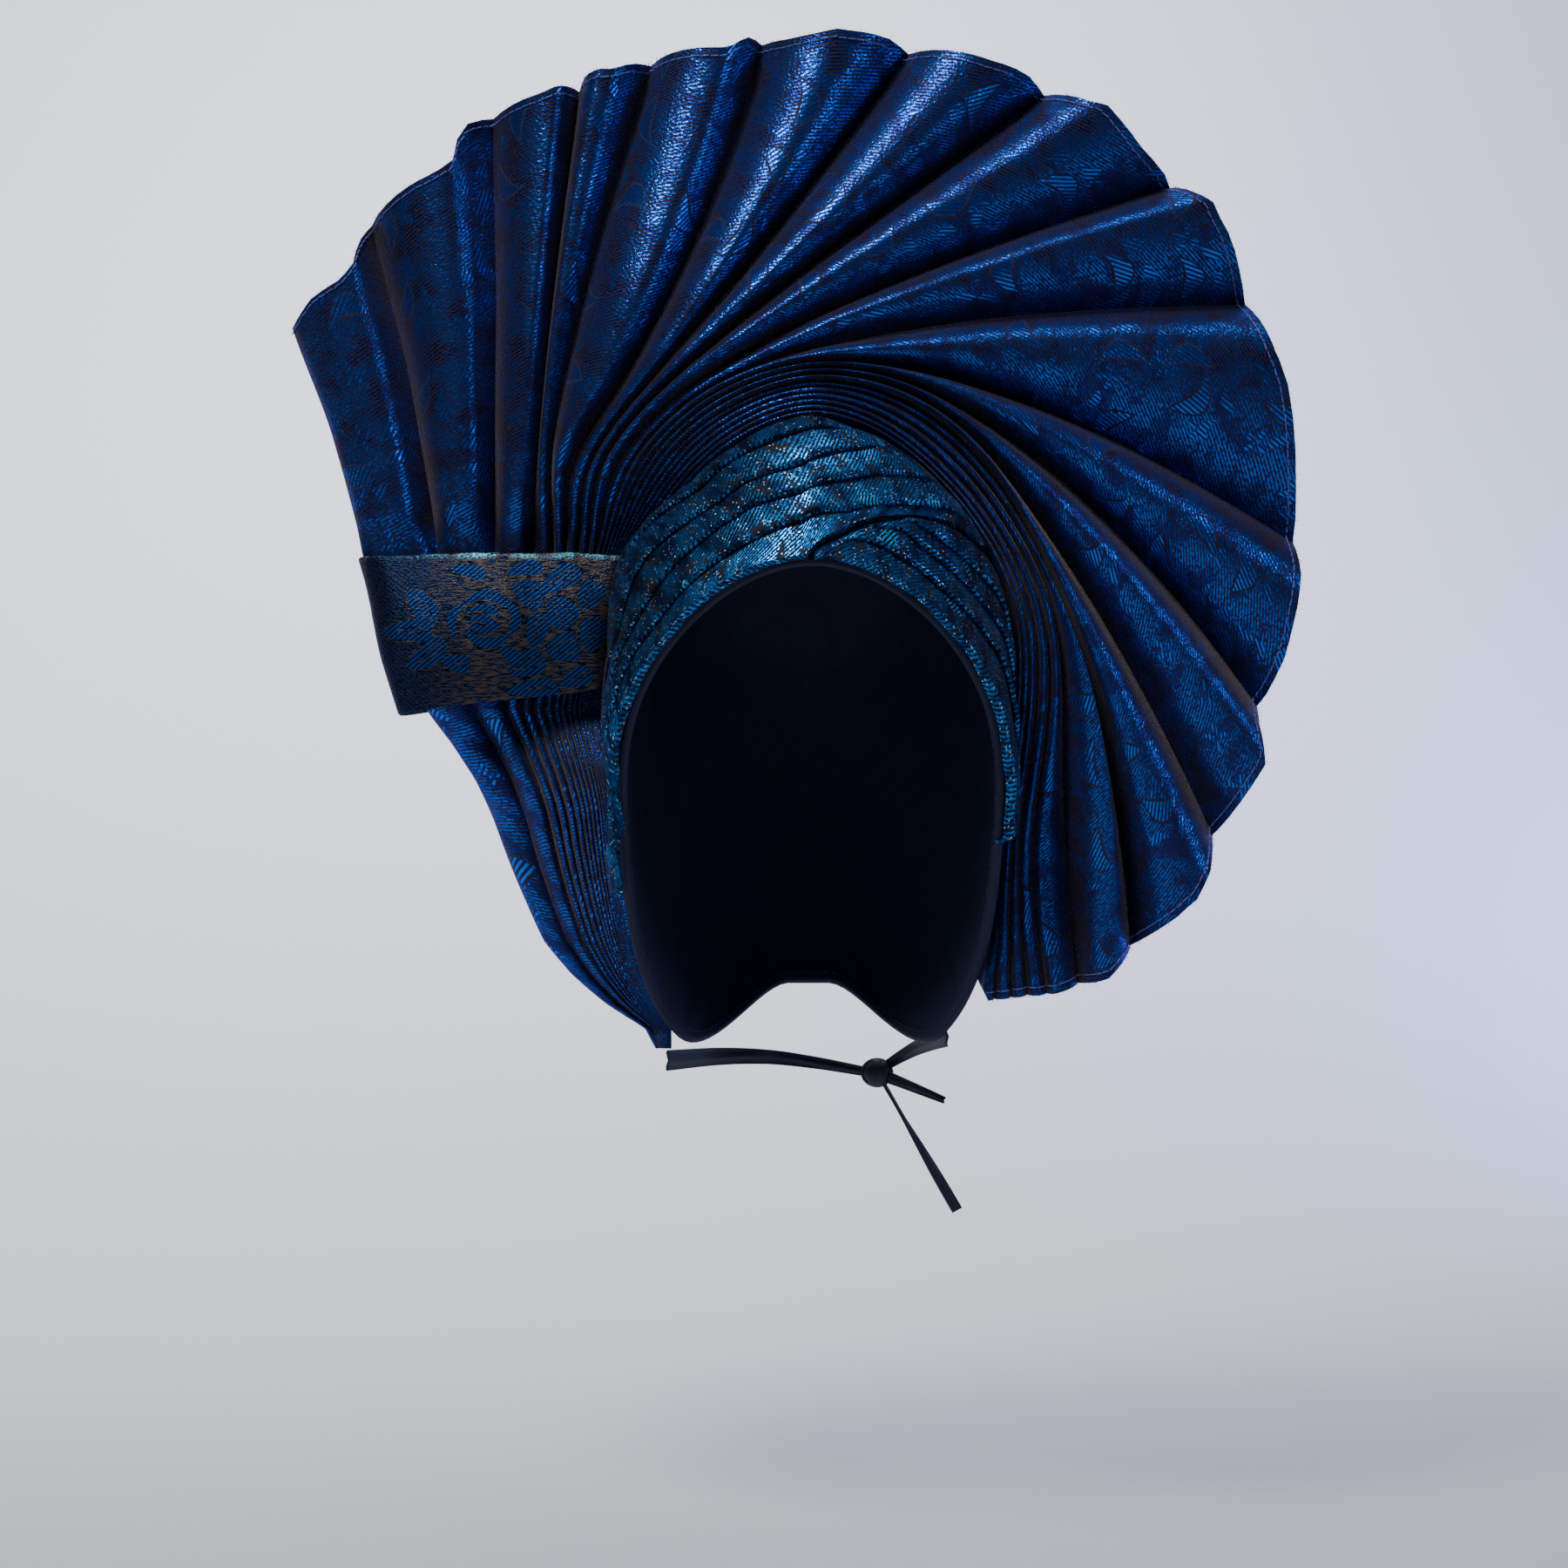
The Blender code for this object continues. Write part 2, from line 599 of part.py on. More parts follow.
def make_band(collection):
    """A flattened sleeve round the pleats, its left end slack at the bottom."""
    top_left = -STACK_INNER - STACK_BREADTH - BAND_CLEARANCE
    low_left = -SIDE_INNER - SIDE_BREADTH - BAND_SLACK
    top_right = -STACK_INNER + BAND_CLEARANCE + BAND_WALL
    low_right = -SIDE_INNER + BAND_CLEARANCE + BAND_WALL
    outer, inner = [], []
    for share in (0.0, 0.12, 0.35, 0.62, 0.88, 1.0):
        z = BAND_LOW_Z + 0.0006 + (BAND_HEIGHT - 0.0012) * share
        left = low_left + (top_left - low_left) * share
        right = low_right + (top_right - low_right) * share
        depth = BAND_HALF_DEPTH + BAND_FULLNESS * math.sin(math.pi * share)
        outer.append(stadium(left, right, depth, z))
        inner.append(stadium(left + BAND_WALL, right - BAND_WALL, depth - BAND_WALL, z))
    return cloth_solid("fan_band", np.array(outer), np.array(inner), collection, BROCADE, loop=True)


def stadium(left, right, depth, z):
    """A flat loop seen from above: two straight runs and two rounded ends."""
    points = []
    turns = np.linspace(-90, 90, 7)
    for centre, way in ((right - depth, 1), (left + depth, -1)):
        for turn in np.radians(turns):
            x = centre + way * depth * math.cos(turn)
            points.append((x, BAND_Y + way * depth * math.sin(turn), z))
        stop = left + depth if way == 1 else right - depth
        for share in (0.25, 0.5, 0.75):
            points.append((centre + (stop - centre) * share, BAND_Y + way * depth, z))
    return points


def tape_solid(name, points, width_way, collection, widths):
    """A flat tape through points, its width along width_way, going from one share to another."""
    points = between(points, 4 * len(points) - 3)
    heading = np.gradient(points, axis=0)
    heading /= np.linalg.norm(heading, axis=1, keepdims=True)
    wide = np.array(width_way) - heading * (heading @ np.array(width_way))[:, None]
    wide /= np.linalg.norm(wide, axis=1, keepdims=True)
    flat = np.cross(heading, wide)
    half = TIE_WIDTH / 2 * np.linspace(*widths, len(points))[:, None]
    grid = np.stack([points + wide * half * side for side in (-1, 0, 1)], axis=1)
    lift = flat[:, None] * TIE_WALL / 2
    return cloth_solid(name, grid + lift, grid - lift, collection, TAPE)


def knot_place():
    nape = hood_point(math.pi, 0.0)
    low = BAND_LOW_Z - SIDE_DROP - TIE_DROP
    return np.array([KNOT_SIDE, nape[1] + TIE_BEHIND, low])


def unit(way):
    return np.array(way) / np.linalg.norm(way)


def knot_reach(way):
    """From the knot's middle to a strap's end against it, along way."""
    return KNOT_SIZE / 2 / np.linalg.norm(unit(way) / KNOT_SHAPE) + KNOT_GAP


def strap_path(start, knot, way):
    """From a corner of the head-tie, bowed out behind the neck, to the knot's side that way points to."""
    stop = knot + unit(way) * knot_reach(way)
    path = [start]
    for share, bow in ((0.25, 0.30), (0.50, 0.40), (0.75, 0.26)):
        spread = abs(stop[0] - start[0])
        path.append(start + (stop - start) * share + np.array([0.0, spread * bow, 0.0]))
    return path + [stop]


def end_path(knot, way, length):
    """A free end from the knot, a little bowed to the back."""
    near = knot_reach(way)
    path = []
    for share in (0, 0.35, 0.7, 1):
        run = near + (length - near) * share
        bow = length * END_BOW * share * (1 - share)
        path.append(knot + unit(way) * run + np.array([0.0, bow, 0.0]))
    return path


def make_ties(collection):
    """Two straps meet in a knot behind the neck, low on the right, with a long and a short free end."""
    knot = knot_place()
    drop = np.array([0.0, 0.001, -TIE_WIDTH / 2 - TIE_GAP])
    row, seat = side_row(1.0, fold_rows())
    left = row.mean(axis=0) + drop
    right = hood_point(math.radians(150), 0.0) + np.array([-0.0008, 0.0, 0.0]) + drop
    upright, fore = (0, 0, 1), (0, 1, 0)
    tape_solid("nape_tie_left", strap_path(left, knot, (-1.0, 0.1, 0.1)), upright, collection, STRAP_WIDTHS)
    tape_solid("nape_tie_right", strap_path(right, knot, (0.8, -0.1, 0.6)), upright, collection, STRAP_WIDTHS)
    long_end = end_path(knot, (0.50, -0.16, -0.85), LONG_END)
    tape_solid("tie_end_long", long_end, fore, collection, LONG_WIDTHS)
    short_end = end_path(knot, (0.86, -0.50, -0.30), SHORT_END)
    tape_solid("tie_end_short", short_end, upright, collection, SHORT_WIDTHS)
    mesh_maker = bmesh.new()
    bmesh.ops.create_uvsphere(mesh_maker, u_segments=14, v_segments=9, radius=KNOT_SIZE / 2)
    bmesh.ops.scale(mesh_maker, verts=mesh_maker.verts, vec=KNOT_SHAPE)
    bmesh.ops.translate(mesh_maker, verts=mesh_maker.verts, vec=knot)
    mesh = bpy.data.meshes.new("nape_knot")
    mesh_maker.to_mesh(mesh)
    mesh_maker.free()
    mesh.shade_smooth()
    finish_object("nape_knot", mesh, collection, TAPE)


def main():
    for old in list(bpy.data.objects):
        bpy.data.objects.remove(old, do_unlink=True)
    parts = bpy.data.collections.new("pre_tied_gele")
    bpy.context.scene.collection.children.link(parts)
    make_hood(parts)
    cloth_solid("pleated_fan", *fan_faces(), parts, BROCADE)
    make_band(parts)
    over = wrap_faces(OVER_SECTIONS, OVER_PLEATS, 25, lap_lift, lambda degrees: 1.0)
    cloth_solid("forehead_wrap_over", *over, parts, GLITTER_BROCADE)
    under = wrap_faces(UNDER_SECTIONS, UNDER_PLEATS, 19, lambda degrees: 0.0, under_limit)
    cloth_solid("forehead_wrap_under", *under, parts, GLITTER_BROCADE)
    make_ties(parts)


main()
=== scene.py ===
import functools
import math

import bmesh
import bpy
import mathutils
import numpy as np
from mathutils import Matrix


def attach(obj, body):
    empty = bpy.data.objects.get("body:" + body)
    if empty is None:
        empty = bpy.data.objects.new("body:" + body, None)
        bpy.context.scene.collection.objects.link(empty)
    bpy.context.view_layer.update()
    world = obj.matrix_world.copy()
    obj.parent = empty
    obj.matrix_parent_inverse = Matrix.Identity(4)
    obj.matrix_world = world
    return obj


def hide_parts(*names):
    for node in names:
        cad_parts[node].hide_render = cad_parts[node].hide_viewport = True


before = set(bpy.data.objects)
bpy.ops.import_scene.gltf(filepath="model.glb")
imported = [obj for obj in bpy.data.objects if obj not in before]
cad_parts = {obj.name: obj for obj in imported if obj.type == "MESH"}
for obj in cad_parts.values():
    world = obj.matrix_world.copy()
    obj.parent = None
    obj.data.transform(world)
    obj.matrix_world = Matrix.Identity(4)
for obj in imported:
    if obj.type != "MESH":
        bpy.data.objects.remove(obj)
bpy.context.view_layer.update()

print("frame: packed solids loaded")

# The hood's dome and its rim oval, which leans back; metres.
hood = {
    "breadth": 0.140, "above": 0.102, "below": 0.116, "centreY": -0.020, "centreZ": -0.11974,
    "depth": 0.133, "lean": math.radians(28.7), "power": 3.3, "napePower": 1.6, "fullness": 0.05,
    "topPower": 1.9, "lowPower": 3.0, "notch": 0.045, "notchStart": 152, "notchSweep": 24,
    "wall": 0.0015, "seat": 0.017, "gap": 0.0009,
}
rimCentre = np.array([0.0, hood["centreY"], hood["centreZ"]])
rimUp = np.array([0.0, -math.sin(hood["lean"]), math.cos(hood["lean"])])
rimBack = np.array([0.0, math.cos(hood["lean"]), math.sin(hood["lean"])])
hubZ = hood["centreZ"] + 0.077  # the point that all the fan's angles are taken about


def smooth(share):
    share = np.clip(share, 0.0, 1.0)
    return share * share * (3 - 2 * share)


def lookup(table, name, at):
    # a table is a list of rows under named columns, read along its first column
    head, rows = table["columns"], np.array(table["rows"], float)
    return np.interp(at, rows[:, 0], rows[:, head.index(name)])


def spline(rows, count):
    # smooth rows through the rows of a table
    rows = np.array(rows, float)
    padded = np.concatenate([2 * rows[:1] - rows[1:2], rows, 2 * rows[-1:] - rows[-2:-1]])
    at = np.linspace(0, len(rows) - 1, count)
    k = np.minimum(at.astype(int), len(rows) - 2)
    t = (at - k).reshape((-1,) + (1,) * (rows.ndim - 1))
    a, b, c, d = padded[k], padded[k + 1], padded[k + 2], padded[k + 3]
    return (2 * b + (c - a) * t + (2 * a - 5 * b + 4 * c - d) * t**2 + (3 * b - a - 3 * c + d) * t**3) / 2


def evenly(line, shares):
    run = np.concatenate([[0.0], np.cumsum(np.linalg.norm(np.diff(line, axis=0), axis=1))])
    return np.column_stack([np.interp(np.asarray(shares) * run[-1], run, part) for part in line.T])


def unit(vectors):
    return vectors / np.maximum(np.linalg.norm(vectors, axis=-1, keepdims=True), 1e-12)


def hoodPoint(turn, depth):
    # outside of the hood: turn is the angle round the rim, depth runs from rim to pole
    turn, depth = np.broadcast_arrays(np.asarray(turn, float), np.asarray(depth, float))
    side, up = np.sin(turn), np.cos(turn)
    above = np.where(up >= 0, hood["above"], hood["below"])
    power = hood["topPower"] + (hood["lowPower"] - hood["topPower"]) * (1 - up) / 2
    oval = (np.abs(side / (hood["breadth"] / 2)) ** power + np.abs(up / above) ** power) ** (-1 / power)
    start, sweep = math.radians(hood["notchStart"]), math.radians(hood["notchSweep"])
    notch = hood["notch"] / hood["depth"] * smooth((np.abs(turn) - start) / sweep)
    along = notch + (1 - notch) * depth
    dome = hood["power"] + (hood["napePower"] - hood["power"]) * smooth((1 - up) / 2)
    shrink = np.maximum(0.0, 1 - along**dome) ** (1 / dome)
    full = 1 + hood["fullness"] * np.sin(math.pi * along)
    place = rimCentre + rimUp * (up * oval * shrink)[..., None] + rimBack * (hood["depth"] * along)[..., None]
    place[..., 0] += side * oval * shrink * full
    return place


def hoodNormal(turn, depth):
    step = 0.01
    across = hoodPoint(turn + step, depth) - hoodPoint(turn - step, depth)
    along = hoodPoint(turn, depth + step) - hoodPoint(turn, np.maximum(depth - step, 0.0))
    return unit(np.cross(across, along))


def turnSeen(degrees, depth):
    # rim angle of the hood's point that is seen at an angle about the hub
    turns = np.radians(np.arange(-178, 178.1, 1.0))
    places = hoodPoint(turns, depth)
    return np.interp(degrees, np.degrees(np.arctan2(places[:, 0], places[:, 2] - hubZ)), turns)


def rimEdge(degrees):
    turn = turnSeen(degrees, 0.0)
    return hoodPoint(turn, 0.0) + hoodNormal(turn, 0.0) * hood["gap"] - rimBack * 0.002


def hexColour(value):
    parts = [int(value[k : k + 2], 16) / 255 for k in (1, 3, 5)]
    return tuple(p / 12.92 if p <= 0.04045 else ((p + 0.055) / 1.055) ** 2.4 for p in parts) + (1.0,)


def feed(node, inputs):
    # sets or links inputs, by order or by socket name: numbers, hex colours, sockets, or whole nodes
    for socket, value in inputs.items() if isinstance(inputs, dict) else enumerate(inputs):
        if isinstance(value, bpy.types.Node):
            value = next(output for output in value.outputs if output.enabled)
        if isinstance(value, bpy.types.NodeSocket):
            node.id_data.links.new(value, node.inputs[socket])
        elif value is not None:
            node.inputs[socket].default_value = hexColour(value) if isinstance(value, str) else value


def addNode(tree, kind, inputs=(), **settings):
    # adds one node to the tree; kind holds its operation too, where it has one
    kind, *operation = kind.split()
    node = tree.nodes.new(kind if "Node" in kind else "ShaderNode" + kind)
    if operation:
        node.operation = operation[0]
    for name, value in settings.items():
        setattr(node, name, value)
    feed(node, inputs)
    return node


def newCloth(name, **settings):
    # a material with its node adder, its shader and the cloth's own coordinates in metres, from the UV map
    material = bpy.data.materials.new(name)
    material.use_nodes = True
    shader = material.node_tree.nodes["Principled BSDF"]
    feed(shader, {socket.replace("_", " "): value for socket, value in settings.items()})
    add = functools.partial(addNode, material.node_tree)
    return material, add, shader, add("UVMap", uv_map="cloth")


def scattered(add, cloth, cell, seed, chance):
    # motifs strewn over the cloth: each cell's own turned coordinates, whether it has one, a random size
    moved = add("VectorMath ADD", (cloth, (seed, seed * 0.61, 0.0)))
    scaled = add("VectorMath SCALE", {0: moved, "Scale": 1 / cell})
    cells = add("TexVoronoi", {"Vector": scaled, "Scale": 1.0, "Randomness": 0.7}, voronoi_dimensions="2D")
    away = add("VectorMath SUBTRACT", (scaled, cells.outputs["Position"]))
    metres = add("VectorMath SCALE", {0: away, "Scale": cell})
    turn, pick, size = add("SeparateColor", (cells.outputs["Color"],)).outputs
    angle = add("Math MULTIPLY", (turn, 6.283))
    turned = add("VectorRotate", {"Vector": metres, "Angle": angle}, rotation_type="Z_AXIS")
    return turned, add("Math LESS_THAN", (pick, chance)), size


def turnedParts(add, place, degrees):
    turned = add("VectorRotate", {"Vector": place, "Angle": math.radians(degrees)}, rotation_type="Z_AXIS")
    return add("SeparateXYZ", (turned,)).outputs


def leafDepth(add, place, centre, angle, length, width, bend, blunt=False):
    # metres inside a leaf or petal: pointed unless blunt, wider towards one end, and bent
    moved = add("VectorMath SUBTRACT", (place, (*centre, 0.0)))
    x, y, _ = turnedParts(add, moved, -angle)
    run = add("Math MULTIPLY", (x, 2 / length))
    square = add("Math MULTIPLY", (run, run))
    off = add("Math ABSOLUTE", (add("Math MULTIPLY_ADD", (square, bend * length, y)),))
    fall = add("Math MULTIPLY", (square, square)) if blunt else square
    belly = add("Math MULTIPLY_ADD", (fall, -width / 2, width / 2))
    lean = add("MapRange", (run, -1.0, 1.0, 0.65, 1.35))
    half = add("Math MULTIPLY", (belly, lean))
    return add("Math SUBTRACT", (half, off))


def leaf(add, place, centre, angle, length, width, bend):
    soft = 0.0003  # half the width of its edge
    return add("MapRange", (leafDepth(add, place, centre, angle, length, width, bend), -soft, soft))


def union(add, masks):
    return functools.reduce(lambda total, mask: add("Math MAXIMUM", (total, mask)), masks)


def threadWave(add, cloth, pitch, degrees):
    phase = add("Math MULTIPLY", (turnedParts(add, cloth, degrees)[0], 2 * math.pi / pitch))
    return add("Math SINE", (phase,))


def twill(add, cloth, pitch, degrees, sharp=0.6):
    # parallel raised threads: 0 in the gaps, 1 on the threads
    return add("MapRange", (threadWave(add, cloth, pitch, degrees), -sharp, sharp))


def brokenTwill(add, cloth, pitch, degrees, grain, uneven):
    # diagonal rows of short thread floats, broken up by the grain's noise
    shift = add("Math MULTIPLY_ADD", (grain, uneven, -uneven / 2))
    total = add("Math MULTIPLY_ADD", (threadWave(add, cloth, pitch, degrees), 0.5, shift))
    return add("MapRange", (total, -0.30, 0.30))


def weaveGrain(add, cloth, across, along, seed):
    # uneven threads: noise drawn out along the weft
    spread = add("Mapping", {"Vector": cloth, "Location": (seed, seed, 0.0),
                             "Scale": (1 / across, 1 / along, 1.0)})
    return add("TexNoise", {"Vector": spread, "Scale": 1.0, "Detail": 2.0}, noise_dimensions="2D")


def blend(factor, low, high):
    return {0: factor, 6: low, 7: high}  # a colour mix's inputs


# Jacquard brocade, woven with metallic (lurex) weft floats over a dull brown-black warp. The foil floats give
# narrow grainy azure highlights along the folds and a royal blue glow beside them; where the matt warp lies
# bare, between floats and round the motifs, the cloth stays nearly black with a faint brown-grey sheen.
brocade = {
    "ground": "#352d2a", "royal": "#141880", "azure": "#1a7cec", "edge": "#2c44ac", "sheen": "#948a82",
    "grain": (0.0016, 0.0010), "cloud": (0.014, 0.010),  # size of the threads' unevenness, across and along
    "twill": (0.0013, 62), "twillBreak": 2.4, "rib": (0.0017, 35),  # real floats are 0.4 mm, drawn coarser
    "patch": (0.56, 0.74, 0.10, 0.62), "worn": (0.38, 0.60, 1.0, 0.7), "betweenRibs": 0.45,
    "royalRough": 0.30, "azureRough": 0.24, "warpRough": 0.60, "shine": 0.95, "warpShine": 0.10,
    "leafCell": 0.034, "leafChance": 0.8, "sprigCell": 0.020, "sprigChance": 0.55,
    "dotCell": 0.026, "dotChance": 0.2, "dotSize": 0.0006, "dotEdge": 0.0003,
}
# motif leaves: centre in metres, angle, length, width, bend
commaLeaves = [
    ((0.0, 0.0), 0, 0.0190, 0.0072, 0.30), ((-0.0080, 0.0066), 66, 0.0100, 0.0040, -0.20),
    ((0.0040, 0.0090), 12, 0.0105, 0.0034, -0.22)]
commaOutline = ((0.0, -0.0001), 0, 0.0210, 0.0090, 0.295)
sprigLeaf = {"turns": (0.2, 1.6, 2.9, 4.6), "out": 0.0030, "shape": (0.0052, 0.0020, 0.08)}


def brocadePattern(add, cloth, look):
    # masks of the floral jacquard: commas, the area round them, sprigs, and bare dots
    wide, wideHere, _ = scattered(add, cloth, look["leafCell"], 0.3, look["leafChance"])
    comma = union(add, [leaf(add, wide, *row) for row in commaLeaves])
    comma = add("Math MULTIPLY", (comma, wideHere))
    around = add("Math MULTIPLY", (leaf(add, wide, *commaOutline), wideHere))
    fine, fineHere, _ = scattered(add, cloth, look["sprigCell"], 1.7, look["sprigChance"])
    out, shape = sprigLeaf["out"], sprigLeaf["shape"]
    sprig = union(add, [leaf(add, fine, (out * math.cos(a), out * math.sin(a)), math.degrees(a), *shape)
                        for a in sprigLeaf["turns"]])
    sprig = add("Math MULTIPLY", (sprig, fineHere))
    spots, spotsHere, size = scattered(add, cloth, look["dotCell"], 4.1, look["dotChance"])
    limit = add("Math MULTIPLY_ADD", (size, look["dotSize"], look["dotSize"]))
    inside = add("Math SUBTRACT", (limit, add("VectorMath LENGTH", (spots,))))
    dots = add("Math MULTIPLY", (add("MapRange", (inside, -look["dotEdge"], look["dotEdge"])), spotsHere))
    return comma, around, sprig, dots


def wovenBrocade(name, look):
    material, add, shader, cloth = newCloth(
        name, Specular_Tint=look["edge"], Specular_IOR_Level=0.3, Sheen_Weight=0.75, Sheen_Roughness=0.35,
        Sheen_Tint=look["sheen"])
    comma, around, sprig, dots = brocadePattern(add, cloth, look)
    grain = weaveGrain(add, cloth, *look["grain"], 0.0)
    cloud = weaveGrain(add, cloth, *look["cloud"], 7.0)
    thread = brokenTwill(add, cloth, *look["twill"], grain, look["twillBreak"])
    ragged = add("Math MULTIPLY_ADD", (grain, 0.35, cloud))
    azure = add("Math MULTIPLY", (thread, add("MapRange", (ragged, *look["patch"]))))
    satin = union(add, [comma, sprig])
    ribbed = add("Math MULTIPLY", (twill(add, cloth, *look["rib"]), satin))
    plain = add("Math SUBTRACT", (1.0, satin))
    azure = add("Math MULTIPLY_ADD", (azure, plain, ribbed))
    base = add("Mix", blend(azure, look["royal"], look["azure"]), data_type="RGBA")
    # the warp shows between the floats, round the motifs, between their ribs and in the dots
    warp = add("MapRange", (cloud, *look["worn"]))
    gaps = add("MapRange", (thread, 0.0, 0.8, 1.0, 0.0))
    bare = add("Math MULTIPLY", (add("Math MULTIPLY", (warp, gaps)), plain))
    outline = add("Math SUBTRACT", (around, comma), use_clamp=True)
    between = add("Math SUBTRACT", (satin, ribbed), use_clamp=True)
    between = add("Math MULTIPLY", (between, look["betweenRibs"]))
    bare = union(add, [bare, outline, dots, between])
    base = add("Mix", blend(bare, base, look["ground"]), data_type="RGBA")
    foil = add("MapRange", (azure, 0.0, 1.0, look["royalRough"], look["azureRough"]))
    rough = add("MapRange", (bare, 0.0, 1.0, foil, look["warpRough"]))
    shine = add("MapRange", (bare, 0.0, 1.0, look["shine"], look["warpShine"]))
    bump = add("Bump", {"Height": grain, "Strength": 0.45, "Distance": 0.0006})
    feed(shader, {"Base Color": base, "Roughness": rough, "Metallic": shine, "Normal": bump})
    return material


# Glitter brocade of the wraps: the same cloth, its foil brighter in soft clouds and worn off in blotches, and
# sized with fine flakes, which sparkle as white-blue points.
glitter = {
    "ground": "#181716", "foil": "#0c2f6c", "azure": "#1a84d8", "satin": "#34b4f4", "bare": "#2a2521",
    "flake": "#bfe6ff", "edge": "#5080c0", "sheen": "#8a8078",
    "grain": (0.0010, 0.0007), "blotch": (0.0085, 0.0050), "cloud": (0.0160, 0.0070),
    "twill": (0.0013, 40), "twillBreak": 2.6, "rib": (0.0013, 60),
    "worn": (0.59, 0.68, 0.0, 0.9), "bright": (0.34, 0.64), "lensCell": 0.034, "lensChance": 0.6,
    "lens": ((0.0, 0.0), 0, 0.0105, 0.0060, 0.05), "flakeCell": 0.0012, "flakeShare": 0.16, "flakeSize": 0.22,
    "shine": (0.2, 0.92), "rough": (0.52, 0.27),
}


def wovenGlitter(name, look):
    material, add, shader, cloth = newCloth(
        name, Specular_Tint=look["edge"], Specular_IOR_Level=0.3, Sheen_Weight=0.22, Sheen_Roughness=0.35,
        Sheen_Tint=look["sheen"])
    grain = weaveGrain(add, cloth, *look["grain"], 0.0)
    thread = brokenTwill(add, cloth, *look["twill"], grain, look["twillBreak"])
    bare = add("MapRange", (weaveGrain(add, cloth, *look["blotch"], 3.0), *look["worn"]))
    wide, here, _ = scattered(add, cloth, look["lensCell"], 2.2, look["lensChance"])
    lens = add("Math MULTIPLY", (leaf(add, wide, *look["lens"]), here))
    bright = add("MapRange", (weaveGrain(add, cloth, *look["cloud"], 8.0), *look["bright"]))
    foil = add("Mix", blend(bright, look["foil"], look["azure"]), data_type="RGBA")
    base = add("Mix", blend(thread, look["ground"], foil), data_type="RGBA")
    base = add("Mix", blend(bare, base, look["bare"]), data_type="RGBA")
    ribs = twill(add, cloth, *look["rib"])
    ribbed = add("Mix", blend(ribs, look["ground"], look["satin"]), data_type="RGBA")
    base = add("Mix", blend(lens, base, ribbed), data_type="RGBA")
    flakes = add("TexVoronoi", {"Vector": cloth, "Scale": 1 / look["flakeCell"]}, voronoi_dimensions="2D")
    pick = add("SeparateColor", (flakes.outputs["Color"],))
    chosen = add("Math LESS_THAN", (pick, look["flakeShare"]))
    near = add("Math LESS_THAN", (flakes.outputs["Distance"], look["flakeSize"]))
    flake = add("Math MULTIPLY", (chosen, near))
    base = add("Mix", blend(flake, base, look["flake"]), data_type="RGBA")
    covered = add("Math MULTIPLY", (thread, add("Math SUBTRACT", (1.0, bare))))
    shine = add("MapRange", (union(add, [covered, lens, flake]), 0.0, 1.0, *look["shine"]))
    rough = add("MapRange", (covered, 0.0, 1.0, *look["rough"]))
    bump = add("Bump", {"Height": thread, "Strength": 0.30, "Distance": 0.0004})
    feed(shader, {"Base Color": base, "Roughness": rough, "Metallic": shine, "Normal": bump})
    return material


# The band's side that shows is woven with a rose: navy petals and leaves in ribbed satin, outlined and veined
# by the bronze-brown ground threads, which also run as short level dashes between them.
bandWeave = {
    "ground": "#06080f", "foil": "#223c70", "satin": "#244a90", "petal": "#0a1430", "bronze": "#554c46",
    # the pale cyan glint colour, with the fold band and patch sizes below, paints a highlight along the top
    # edge
    "bare": "#07070a", "paintedGlint": "#7adcff", "edge": "#5a70b0", "roseX": 0.0325, "roseZ": 0.0320,
    "ribPitch": 0.0014, "ribAngle": 52, "groundShare": 0.55, "petalEdge": 0.0002, "outline": 0.0008,
    "outlineEdge": 0.0003, "arcs": 0.0032, "arcWidth": (0.80, 0.97), "arcStart": (0.0010, 0.0016),
    "grain": (0.0011, 0.0005), "dashes": (0.0042, 0.0006), "fold": (0.0544, 0.0562), "paintedGlintPatch": 0.0110,
    "plainEnd": (0.008, 0.030, 0.15, 1.0),  # bronze threads and the painted glints fade towards the left end
}
# petal columns: x and z from the rose's middle in mm, angle, length and width in mm, bend
rosePetals = [
    (1.0, 9.6, 0, 19.0, 4.2, 0.26), (0.6, 4.9, -4, 13.0, 3.2, 0.24), (0.2, 0.8, -8, 9.0, 3.6, 0.10),
    (-0.2, -3.4, -10, 13.5, 3.2, -0.24), (0.5, -8.2, -12, 19.0, 4.2, -0.26),
    (-11.4, 0.2, 84, 14.0, 4.0, 0.22),
    (12.4, 1.8, -80, 14.0, 4.0, 0.22), (9.6, -12.0, -30, 8.0, 5.0, 0.05), (16.0, -16.0, 20, 15.0, 9.4, 0.05),
    (-9.7, -15.6, -10, 11.0, 6.6, 0.04), (17.2, 10.4, -30, 13.5, 9.6, 0.05),
    (20.2, -3.4, 70, 14.0, 8.2, 0.05),
    (29.2, 3.4, -50, 14.0, 10.4, 0.04), (29.6, -9.8, 10, 13.5, 10.4, 0.05), (28.4, 15.4, 30, 17.0, 8.4, 0.06),
    (15.6, 19.4, 10, 14.0, 5.6, 0.06), (39.4, 9.4, 60, 12.0, 9.2, 0.04), (40.4, -5.0, 80, 14.0, 9.2, 0.05),
    (18.4, -24.8, 3, 20.0, 6.6, 0.04), (34.4, -21.0, 20, 13.0, 7.0, 0.04), (-22.2, 5.6, -55, 17.0, 8.4, 0.06),
    (-28.0, -3.4, 0, 20.0, 7.6, 0.06), (-20.4, -13.0, 35, 18.0, 8.2, -0.06),
    (-5.4, 18.6, -12, 15.0, 5.0, 0.05),
]


